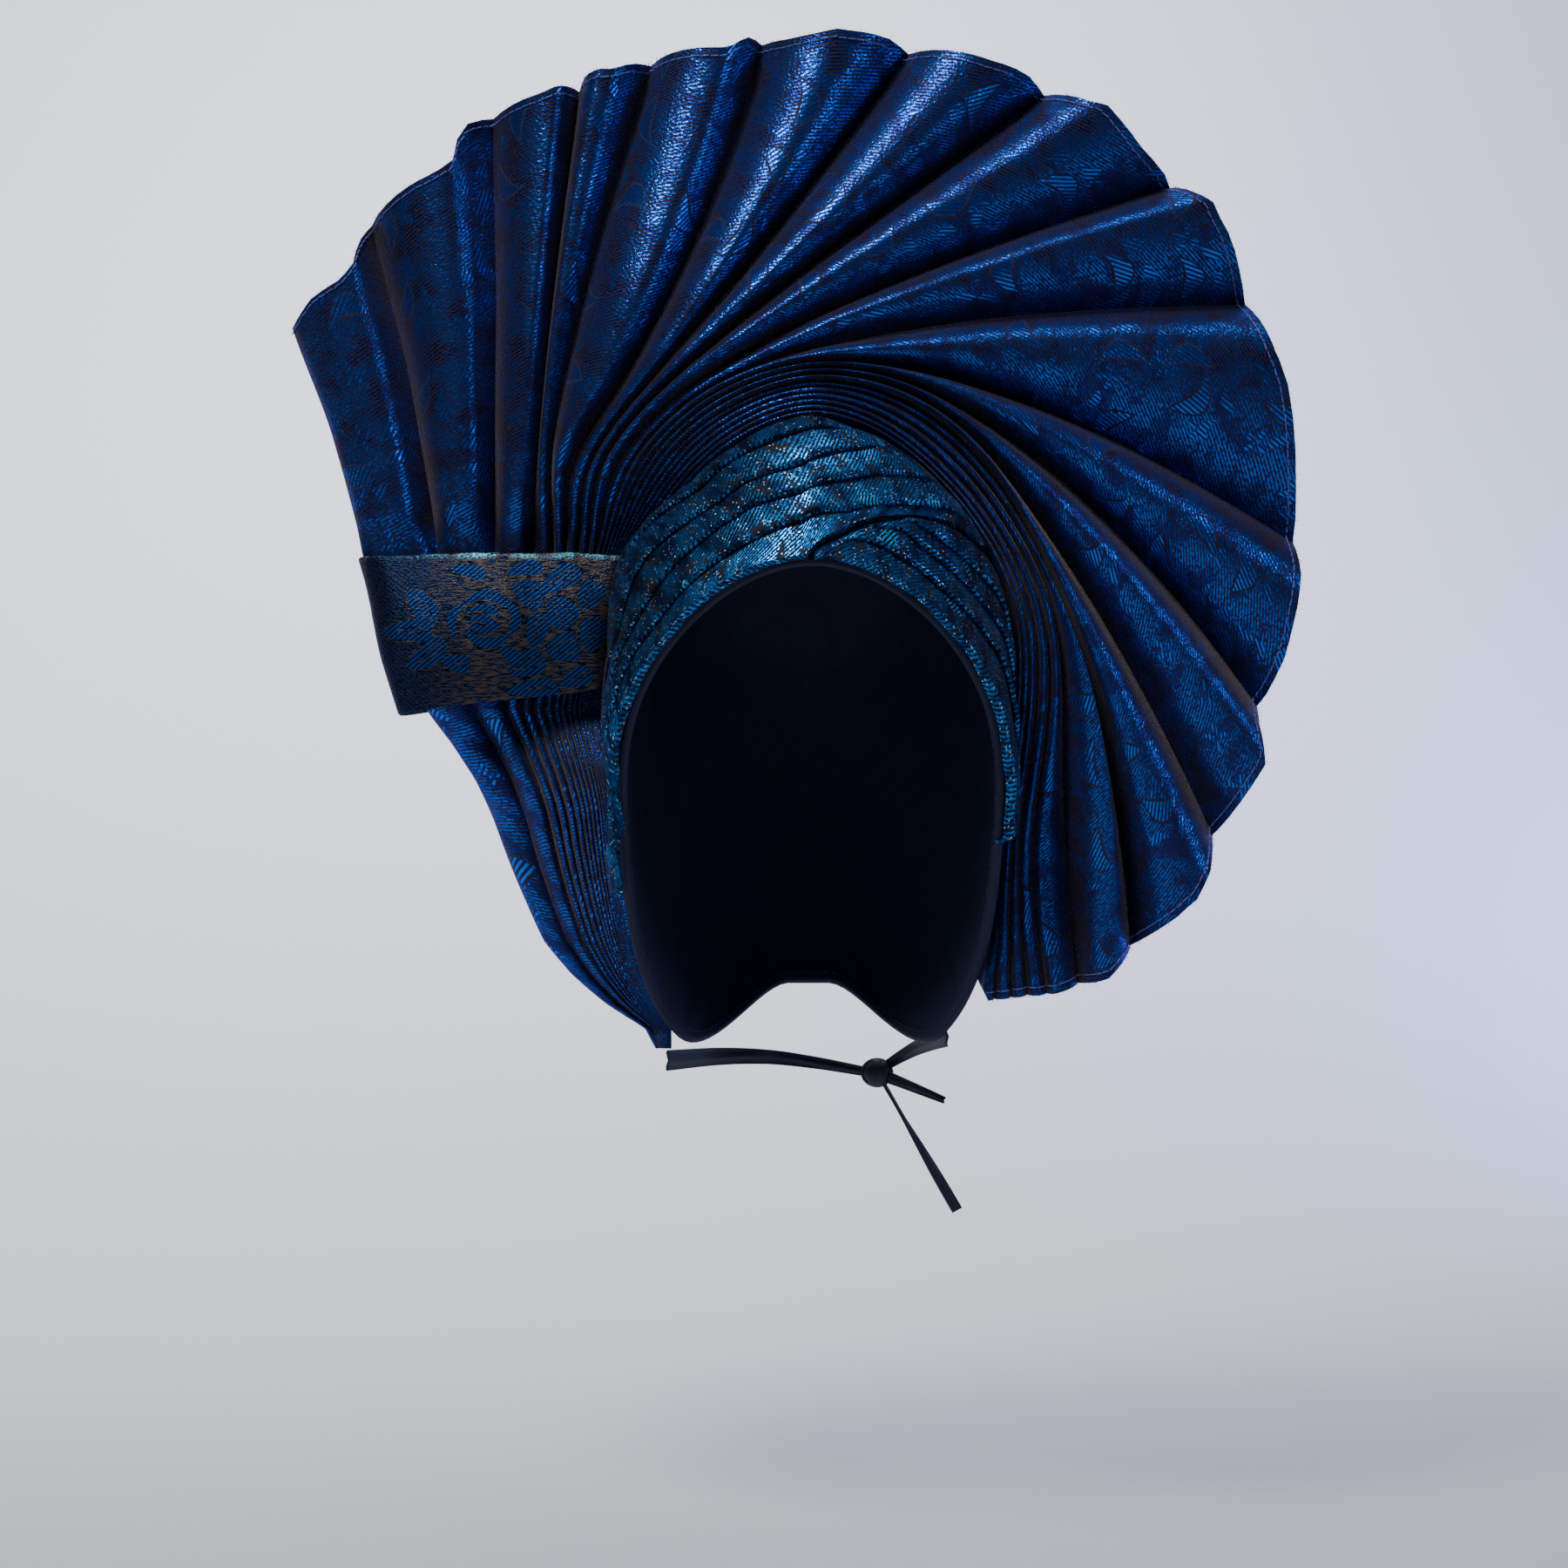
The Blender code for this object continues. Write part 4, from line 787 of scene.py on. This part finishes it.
# sections across a wrap: angle at its lower edge and at the border, then where each fold edge crosses it
overSections = [
    (-147.0, -146.2, 0.50, 0.65, 0.80, 0.93), (-139.0, -137.6, 0.50, 0.64, 0.79, 0.92),
    (-131.5, -129.0, 0.44, 0.62, 0.78, 0.92), (-123.4, -120.0, 0.33, 0.57, 0.77, 0.92),
    (-110.6, -102.6, 0.29, 0.56, 0.76, 0.93), (-92.6, -74.0, 0.235, 0.47, 0.73, 0.94),
    (-66.4, -47.0, 0.21, 0.44, 0.645, 0.87), (-42.0, -26.0, 0.225, 0.45, 0.64, 0.87),
    (-9.5, -2.0, 0.23, 0.41, 0.61, 0.87), (26.0, 14.0, 0.18, 0.49, 0.78, 0.97),
    (43.6, 25.0, 0.175, 0.57, 0.93, 1.00), (50.8, 34.5, 0.18, 0.69, 0.98, 1.00),
    (58.7, 47.0, 0.34, 0.90, 1.00, 1.00), (65.5, 62.0, 0.70, 1.00, 1.00, 1.00),
    (71.0, 71.0, 1.00, 1.00, 1.00, 1.00),
]
underSections = [
    (2.0, 4.0, 0.50, 0.72, 0.88), (24.0, 22.2, 0.46, 0.70, 0.86), (44.0, 38.4, 0.43, 0.68, 0.85),
    (58.5, 48.7, 0.36, 0.65, 0.82), (70.4, 56.5, 0.28, 0.54, 0.72), (81.7, 64.1, 0.27, 0.48, 0.66),
    (91.0, 71.4, 0.26, 0.48, 0.68), (101.0, 87.4, 0.33, 0.60, 0.84), (112.0, 101.0, 0.46, 0.76, 0.92),
    (120.0, 114.0, 0.60, 0.84, 0.95), (127.0, 124.5, 0.66, 0.88, 0.96), (133.5, 132.0, 0.68, 0.88, 0.96),
    (141.0, 140.0, 0.70, 0.88, 0.96),
]
wrap = {
    "wall": 0.0007, "height": 0.0034, "under": 0.0005, "tuck": 0.0045, "fold": 0.0006, "bulge": 0.0030,
    "fullRoom": 0.006, "leastWidth": 0.002, "sections": 150, "frontPoints": 8,
    "sink": 0.0028, "sinkBefore": 0.07, "sinkOver": 0.08, "lapUnder": 0.10, "leastLap": 0.06,
}


def browPoint(degrees, share):
    low = rimEdge(degrees)
    reach = lookup(border, "reach", degrees) * fan["bundle"]
    forward = lookup(border, "forward", degrees) * fan["lean"]
    turn = np.radians(degrees)
    high = np.stack([np.sin(turn) * reach, forward, hubZ + np.cos(turn) * reach], axis=-1)
    share = np.asarray(share, float)[..., None]
    middle = unit(high + low - 2 * rimCentre) - np.array([0.0, 0.5, 0.0])
    return low + (high - low) * share + unit(middle) * wrap["bulge"] * np.sin(math.pi * np.clip(share, 0, 1))


def pleatProfile(edges, width):
    # one section of knife pleats: shares across and heights, from the lower edge to the border
    shares, heights = [], []
    stops = list(edges) + [1.0]
    for k, (low, high) in enumerate(zip([0.0] + list(edges), stops)):
        room = max(high - low, 0.0) * width
        full = min(1.0, room / wrap["fullRoom"])  # a pleat with little room lies flatter
        fold, tuck = wrap["fold"] / width * full, wrap["tuck"] / width * full
        top = wrap["height"] * full
        if k == 0:
            shares += [low + 2.5 * fold, low + fold, low, low + fold]
            heights += [0.05 * top, 0.05 * top, 0.50 * top, top]
        else:
            shares += [low + tuck, low + tuck / 2, low + 1.2 * fold, low + 0.3 * fold, low, low + fold]
            heights += [0.30 * top, 0.42 * top, 0.55 * top, 0.60 * top, 0.80 * top, top]
        reach = min(1.0, high + (tuck if k < len(edges) else 0.0))
        for t in np.linspace(0, 1, wrap["frontPoints"])[1:]:
            shares.append(low + fold + (reach - low - fold) * t)
            heights.append(wrap["under"] + (top - wrap["under"]) * (1.0 - t) ** 0.85)
    return np.array(shares), np.array(heights)


def makeWrap(name, sections, lowerShare, upperShare, sink):
    base, heights = [], []
    for lower, upper, *edges in spline(sections, wrap["sections"]):
        edges = np.clip(np.maximum.accumulate(edges), 0.0, 1.0)
        start, stop = lowerShare(lower), upperShare(upper)
        width = np.linalg.norm(browPoint(upper, stop) - browPoint(lower, start))
        shares, high = pleatProfile(edges, float(max(width, wrap["leastWidth"])))
        degrees = lower + (upper - lower) * shares
        place = start + (stop - start) * shares
        base.append(browPoint(degrees, place))
        heights.append(high - sink(degrees, place))
    base, heights = np.array(base), np.array(heights)
    chord = base[:, -1] - base[:, 0]
    normal = unit(np.cross(np.gradient(base[:, 0] + chord / 2, axis=0), chord))
    normal = normal * -np.sign(normal[:, 1])[:, None]
    for _ in range(10):
        normal[1:-1] = unit(normal[:-2] + 2 * normal[1:-1] + normal[2:])
    middle = base + normal[:, None] * heights[..., None]
    # a few soft waves along each pleat, so that no fold runs ruler-straight
    along, across = runAlong(middle, 0), runAlong(middle, 1)
    wave = 0.00025 * np.sin(along * 210 + across * 35) + 0.0002 * np.sin(along * 95 - across * 60 + 1.3)
    middle = middle + normal[:, None] * wave[..., None]
    facing = unit(np.cross(np.gradient(middle, axis=0), np.gradient(middle, axis=1)))
    # the sheet doubles back at each fold, so its own normal turns over there with it
    thick = facing * wrap["wall"] / 2
    return clothMesh(name, middle + thick, middle - thick, gridCells(across, along))


def lapLift(degrees):
    return float(lookup(lap, "lift", degrees))


def sunkBelow(degrees, place):
    # the under wrap dips where it runs in below the over wrap
    past = place - lookup(lap, "lift", degrees) + wrap["sinkBefore"]
    return wrap["sink"] * smooth(past / wrap["sinkOver"])


overWrap = makeWrap("overWrap", overSections, lapLift, lambda degrees: 1.0, lambda degrees, place: 0.0)
glitterMaterial = wovenGlitter("glitterBrocade", glitter)
dress(overWrap, glitterMaterial, "wrap_brocade", "forehead_wrap_over")
underWrap = makeWrap(
    "underWrap", underSections, lambda degrees: 0.0,
    lambda degrees: min(1.0, max(wrap["leastLap"], lapLift(degrees) + wrap["lapUnder"])), sunkBelow)
dress(underWrap, glitterMaterial, "wrap_brocade", "forehead_wrap_under")
print("wraps:", len(overWrap.data.polygons) + len(underWrap.data.polygons), "faces")

# The hood, plain-woven and gathered a little at the nape, its rim bound with a folded strip.
hoodMesh = {"turns": 180, "levels": 46, "poleLevels": 14, "gathers": 0.0009, "count": 64}
# the binding's section: distance back from the rim, distance out from the hood's outside; metres
bindingSection = [(0.0050, 0.0003), (0.0046, 0.0010), (0.0024, 0.0014), (0.0002, 0.0014), (-0.0009, 0.0008),
                  (-0.0013, -0.0006), (-0.0009, -0.0018), (0.0002, -0.0021), (0.0024, -0.0021),
                  (0.0046, -0.0021), (0.0050, -0.0018)]


def makeHood():
    turns = np.linspace(-math.pi, math.pi, hoodMesh["turns"] + 1)[:-1]
    near = np.linspace(0, 0.9, hoodMesh["levels"])
    levels = np.concatenate([near, 1 - 0.1 * np.linspace(1, 0, hoodMesh["poleLevels"])[1:] ** 1.6])
    grid = hoodPoint(turns[None, :], levels[:, None])
    safe = np.minimum(levels, 0.985)
    normal = hoodNormal(*np.broadcast_arrays(turns[None, :], safe[:, None]))
    normal[-1] = rimBack
    nape = smooth((np.abs(turns) - 2.0) / 0.8)[None, :] * (1 - smooth(levels / 0.45))[:, None]
    dents = hoodMesh["gathers"] * nape * (0.5 + 0.5 * np.sin(turns * hoodMesh["count"]))[None, :]
    grid = grid - normal * dents[..., None]
    inner = grid - normal * hood["wall"]
    made = clothMesh("hoodShell", grid, inner, runCells(grid), loop=True)
    weld = bmesh.new()
    weld.from_mesh(made.data)
    bmesh.ops.remove_doubles(weld, verts=weld.verts, dist=1e-6)
    bmesh.ops.delete(weld, geom=[edge for edge in weld.edges if not edge.link_faces], context="EDGES")
    weld.to_mesh(made.data)
    weld.free()
    return made


def makeBinding():
    turns = np.linspace(-math.pi, math.pi, 241)[:-1]
    rim, out = hoodPoint(turns, 0.0), hoodNormal(turns, 0.02)
    ahead = unit(hoodPoint(turns, 0.03) - rim)
    outer = np.array([rim + ahead * back + out * off for back, off in bindingSection])
    middle = np.array([rim + ahead * 0.0030 + out * -0.00075 for _ in bindingSection])
    inner = outer + unit(middle - outer) * 0.0004
    return clothMesh("rimBinding", outer, inner, runCells(outer), loop=True)


hoodShell = makeHood()
rimBinding = makeBinding()
liningMaterial = wovenLining("polyesterLining", "#0a1230", "#263a70")
dress(hoodShell, liningMaterial, "lining", "cap_shell")
dress(rimBinding, liningMaterial, "lining")
print("hood:", len(hoodShell.data.polygons), "faces")

# Stitching and frayed threads, laid along lines with geometry nodes.
def threadTree(name, sizes, makeThread):
    # threads laid along a line at a pitch; makeThread gives one thread, how it is turned, and its size
    tree = bpy.data.node_groups.new(name, "GeometryNodeTree")
    tree.interface.new_socket("Geometry", in_out="INPUT", socket_type="NodeSocketGeometry")
    tree.interface.new_socket("Geometry", in_out="OUTPUT", socket_type="NodeSocketGeometry")
    for size in sizes:
        tree.interface.new_socket(size, in_out="INPUT", socket_type="NodeSocketFloat")
    tree.interface.new_socket("Material", in_out="INPUT", socket_type="NodeSocketMaterial")
    given = tree.nodes.new("NodeGroupInput").outputs
    add = functools.partial(addNode, tree)
    points = add("GeometryNodeCurveToPoints", {"Curve": given["Geometry"], "Length": given["Pitch"]},
                 mode="LENGTH")
    thread, turn, size = makeThread(add, given)
    turned = add("FunctionNodeRotateRotation", {0: points.outputs["Rotation"], 1: turn},
                 rotation_space="LOCAL")
    laid = add("GeometryNodeInstanceOnPoints", {"Points": points.outputs["Points"], "Rotation": turned,
                                                "Instance": thread.outputs["Mesh"], "Scale": size})
    real = add("GeometryNodeRealizeInstances", (laid,))
    done = add("GeometryNodeSetMaterial", {"Geometry": real, "Material": given["Material"]})
    feed(tree.nodes.new("NodeGroupOutput"), {"Geometry": done})
    return tree


def sewnThread(add, given):
    # a short rounded thread, a little off true
    radius = add("Math MULTIPLY", (given["Thickness"], 0.5))
    thread = add("GeometryNodeMeshCylinder", {"Vertices": 6, "Radius": radius, "Depth": given["Length"]})
    low = add("Math MULTIPLY", (given["Stray"], -1.0))
    stray = add("FunctionNodeRandomValue", {2: low, 3: given["Stray"], "Seed": 4}, data_type="FLOAT")
    return thread, add("CombineXYZ", (stray, stray)), None


def frayedEnd(add, given):
    # a fine thread end, standing off the raw edge any way
    thread = add("GeometryNodeMeshCone", {
        "Vertices": 3, "Radius Bottom": given["Thickness"], "Radius Top": 0.0, "Depth": given["Length"]})
    spin = add("FunctionNodeRandomValue", {0: (1.0, -0.6, 0.0), 1: (2.1, 0.6, 6.28), "Seed": 9},
               data_type="FLOAT_VECTOR")
    return thread, spin, add("FunctionNodeRandomValue", {2: 0.35, 3: 1.0, "Seed": 2}, data_type="FLOAT")


def layAlong(name, tree, points, material, slot, closed=False, **sizes):
    # runs a tree along a line and keeps the threads as a plain mesh
    curve = bpy.data.curves.new(name, "CURVE")
    curve.dimensions = "3D"
    run = curve.splines.new("POLY")
    run.points.add(len(points) - 1)
    run.points.foreach_set("co", np.column_stack([points, np.ones(len(points))]).ravel())
    run.use_cyclic_u = closed
    line = placed(bpy.data.objects.new(name + "Line", curve))
    modifier = line.modifiers.new("lay", "NODES")
    modifier.node_group = tree
    sockets = {item.name: item.identifier for item in tree.interface.items_tree if item.in_out == "INPUT"}
    for size, value in sizes.items():
        modifier[sockets[size.capitalize()]] = value
    modifier[sockets["Material"]] = material
    mesh = bpy.data.meshes.new_from_object(line.evaluated_get(bpy.context.evaluated_depsgraph_get()))
    made = placed(bpy.data.objects.new(name, mesh))
    bpy.data.objects.remove(line, do_unlink=True)
    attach(made, "root")


def threadMaterial(name, colour, rough, shine=0.0):
    # polyester sewing thread, or a frayed foil thread where it shines
    material, add, shader, _ = newCloth(name, Roughness=rough, Metallic=shine)
    noise = add("TexNoise", {"Vector": add("TexCoord").outputs["Object"], "Scale": 900.0})
    feed(shader, {"Base Color": add("Mix", blend(noise, "#05060c", colour), data_type="RGBA")})
    return material


stitches = threadTree("stitches", ("Pitch", "Length", "Thickness", "Stray"), sewnThread)
fuzz = threadTree("fuzz", ("Pitch", "Length", "Thickness"), frayedEnd)
layAlong("hemStitches", stitches, stitchLine + np.array([0.0, -0.00025, 0.0]),
         threadMaterial("hemThread", "#8890f0", 0.5), "brocade",
         pitch=0.0034, length=0.0028, thickness=0.00048, stray=0.10)
layAlong("hemFuzz", fuzz, hemLine + np.array([0.0, 0.0005, 0.0]),
         threadMaterial("frayedThread", "#1c2a6c", 0.45, 0.5), "brocade",
         pitch=0.00055, length=0.0022, thickness=0.00011)
rimTurns = np.linspace(-math.pi, math.pi, 361)[:-1]
rimDepth = 0.027  # share of the hood's depth at which the binding is sewn
rimInside = hoodPoint(rimTurns, rimDepth) - hoodNormal(rimTurns, rimDepth) * 0.0024
layAlong("rimStitches", stitches, rimInside, threadMaterial("rimThread", "#3a4a86", 0.5), "lining",
         closed=True, pitch=0.0036, length=0.0025, thickness=0.00034, stray=0.08)
print("stitches and fuzz laid")

# Ties: narrow tapes of the cloth's plain back, knotted at the nape.
tie = {
    "width": 0.0080, "wall": 0.0009, "gap": 0.0007, "drop": 0.0150, "behind": 0.0040, "knot": 0.0130,
    "shape": (1.0, 0.8, 0.9), "side": 0.0280, "bite": 0.0004, "longEnd": 0.0640, "shortEnd": 0.0320,
    "bow": 0.06, "steps": 10, "across": 6, "crease": 0.0006,
}
knotPlace = np.array([tie["side"], hoodPoint(math.pi, 0.0)[1] + tie["behind"],
                      fan["bandLow"] - fan["sideDrop"] - tie["drop"]])


def knotReach(way):
    return tie["knot"] / 2 / np.linalg.norm(unit(np.array(way)) / np.array(tie["shape"]))


def makeTape(name, points, widthWay, widths):
    points = spline(points, tie["steps"] * (len(points) - 1) + 1)
    heading = unit(np.gradient(points, axis=0))
    # the tape may turn about its own length, from the first way to the last
    first, last = np.array(widthWay, float)
    way = first + (last - first) * smooth(np.linspace(0, 1, len(points)))[:, None]
    wide = unit(way - heading * np.sum(heading * way, axis=1)[:, None])
    flat = np.cross(heading, wide)
    half = tie["width"] / 2 * np.linspace(*widths, len(points))[:, None, None]
    side = np.linspace(-1, 1, tie["across"] + 1)[None, :, None]
    along = np.linspace(0, len(points) / tie["steps"], len(points))[:, None, None]
    # the tape is folded lengthwise and creased, so it is not flat across
    lift = tie["crease"] * np.cos(side * 4.0 + 0.7 * np.sin(along * 2.1)) * (1 - side**2)
    grid = points[:, None] + wide[:, None] * half * side + flat[:, None] * lift
    thick = flat[:, None] * tie["wall"] / 2
    return clothMesh(name, grid + thick, grid - thick, gridCells(runAlong(grid, 1), runAlong(grid, 0)))


def strapPath(start, way):
    stop = knotPlace + unit(np.array(way)) * (knotReach(way) - tie["bite"])
    spread = abs(stop[0] - start[0])
    path = [start]
    for share, bow in ((0.25, 0.30), (0.50, 0.40), (0.75, 0.26)):
        path.append(start + (stop - start) * share + np.array([0.0, spread * bow, 0.0]))
    return path + [stop]


def endPath(way, length):
    near, path = knotReach(way) - tie["bite"], []
    for share in (0, 0.35, 0.7, 1):
        run = near + (length - near) * share
        bow = np.array([0.0, length * tie["bow"] * share * (1 - share), 0])
        path.append(knotPlace + unit(np.array(way)) * run + bow)
    return path


tieCloth = wovenLining("tapeCloth", "#070d24", "#16285c", 0.0010, 0.6)
below = np.array([0.0, 0.001, -tie["width"] / 2 - tie["gap"]])
napeStart = fanRows()[0][0].mean(axis=0) + below
rightStart = hoodPoint(math.radians(150), 0.0) + np.array([-0.0008, 0.0, 0.0]) + below
level = ((0, 0, 1), (0, 0, 1))
# tape columns: name, path, which way its width points at either end, shares of the width there, node
tapes = (
    ("napeTieLeft", strapPath(napeStart, (-1.0, 0.1, 0.1)), level, (1.0, 0.5), "nape_tie_left"),
    ("napeTieRight", strapPath(rightStart, (0.8, -0.1, 0.6)), level, (1.0, 0.5), "nape_tie_right"),
    ("tieEndLong", endPath((0.50, -0.16, -0.85), tie["longEnd"]), ((0, 1, 0), (0.9, 0.45, 0)), (0.7, 0.6),
     "tie_end_long"),
    ("tieEndShort", endPath((0.86, -0.50, -0.30), tie["shortEnd"]), level, (0.6, 0.35), "tie_end_short"),
)
for name, path, way, widths, node in tapes:
    dress(makeTape(name, path, way, widths), tieCloth, "tape", node)


def makeKnot():
    # three turns of tape round a core, one across the other two
    shape = np.array(tie["shape"]) * tie["knot"] / 2
    turns = np.linspace(0, 2 * math.pi, 49)[:-1, None]
    side = np.linspace(-1, 1, 7)[None, :]
    pieces = []
    for spin, tilt, spread, out in ((0.25, 0.15, -0.32, 0), (0.25, 0.15, 0.34, 0), (1.45, 0.30, 0.0, 0.04)):
        ring = np.stack(np.broadcast_arrays(spread + 0.34 * side, np.cos(turns), np.sin(turns)), axis=-1)
        ring = unit(ring) * (0.93 + 0.07 * (1 - side**2) + out)[..., None]
        c, s = math.cos(spin), math.sin(spin)
        turnZ = np.array([[c, -s, 0], [s, c, 0], [0, 0, 1]])
        c, s = math.cos(tilt), math.sin(tilt)
        turnY = np.array([[c, 0, s], [0, 1, 0], [-s, 0, c]])
        ring = ring @ turnZ.T @ turnY.T
        outer = ring * shape + knotPlace
        inner = ring * (shape - tie["wall"] * 1.4) + knotPlace
        # columns run round the ring, so that the loop closes on itself
        outer, inner = outer.transpose(1, 0, 2), inner.transpose(1, 0, 2)
        pieces.append(clothMesh("knotTurn", outer, inner, runCells(outer), loop=True))
    bpy.ops.mesh.primitive_uv_sphere_add(segments=32, ring_count=20, radius=1)
    core = bpy.context.object
    core.data.transform(mathutils.Matrix.Diagonal((*(shape * 0.90), 1)))
    core.data.transform(mathutils.Matrix.Translation(knotPlace))
    core.data.uv_layers[0].name = "cloth"
    core.data.shade_smooth()
    with bpy.context.temp_override(active_object=core, selected_editable_objects=[core, *pieces]):
        bpy.ops.object.join()
    core.name = "tieKnot"
    return core


dress(makeKnot(), tieCloth, "tape", "nape_knot")
print("ties: four tapes and the knot")

# Stage: a pale sweep behind and below, soft key from the upper left, bluish fill from the right.
stage = {"floor": -0.42, "wall": 1.60, "curve": 1.20, "width": 9.0, "near": -2.5, "top": 3.2,
         "paint": "#cdd0d8"}


def makeSweep():
    turns = np.linspace(0, math.pi / 2, 25)
    run = [(stage["near"], stage["floor"])]
    run += [(stage["wall"] - stage["curve"] + stage["curve"] * math.sin(t),
             stage["floor"] + stage["curve"] * (1 - math.cos(t))) for t in turns]
    run += [(stage["wall"], stage["top"])]
    points = [(x, y, z) for y, z in run for x in (-stage["width"] / 2, stage["width"] / 2)]
    faces = [(2 * k, 2 * k + 1, 2 * k + 3, 2 * k + 2) for k in range(len(run) - 1)]
    mesh = bpy.data.meshes.new("sweep")
    mesh.from_pydata(points, [], faces)
    mesh.shade_smooth()
    paint = bpy.data.materials.new("palePaint")  # matt painted board
    paint.use_nodes = True
    feed(paint.node_tree.nodes["Principled BSDF"], {"Base Color": stage["paint"], "Roughness": 0.9})
    mesh.materials.append(paint)
    return placed(bpy.data.objects.new("sweep", mesh))


def addLight(name, place, target, size, power, colour, spread=180):
    light = bpy.data.lights.new(name, "AREA")
    light.spread = math.radians(spread)
    light.shape, light.size, light.size_y = "RECTANGLE", size[0], size[1]
    light.energy, light.color = power, hexColour(colour)[:3]
    made = placed(bpy.data.objects.new(name, light))
    made.location = place
    aim = mathutils.Vector(target) - mathutils.Vector(place)
    made.rotation_euler = aim.to_track_quat("-Z", "Y").to_euler()
    return made


# light columns: name, place, what it looks at, size, watts, colour, and its spread where a grid narrows it
lights = (
    ("keyUpperLeft", (-0.50, -0.78, 1.16), (-0.02, 0.0, -0.06), (0.36, 0.36), 17.0, "#fcf6f0"),
    ("topStrip", (0.25, -0.25, 0.95), (0.02, 0.0, 0.0), (0.60, 0.15), 1.4, "#f0f2ff"),
    ("fillRight", (1.20, -0.45, 0.30), (0.05, 0.0, -0.05), (0.25, 0.50), 3.2, "#d0d2fc"),
    ("wallWash", (-0.30, 0.80, 1.95), (-0.40, 1.60, 0.06), (2.20, 0.45), 48.0, "#f4f6f6", 100),
    ("wallBlue", (1.10, 0.55, -0.20), (0.80, 1.30, -0.30), (0.60, 0.20), 12.0, "#8090ff", 120),
)
makeSweep()
[addLight(*row) for row in lights]
world = bpy.data.worlds.new("studio")
world.use_nodes = True
feed(world.node_tree.nodes["Background"], {"Color": "#c8d0dc", "Strength": 0.03})
bpy.context.scene.world = world

camera = placed(bpy.data.objects.new("camera", bpy.data.cameras.new("camera")))
camera.location = (-0.010, -0.895, -0.10837)
camera.rotation_euler = (math.pi / 2, 0.0, 0.0)
camera.data.lens, camera.data.sensor_width = 54.4, 36.0
bpy.context.scene.camera = camera
print("stage: sweep, lights and camera")
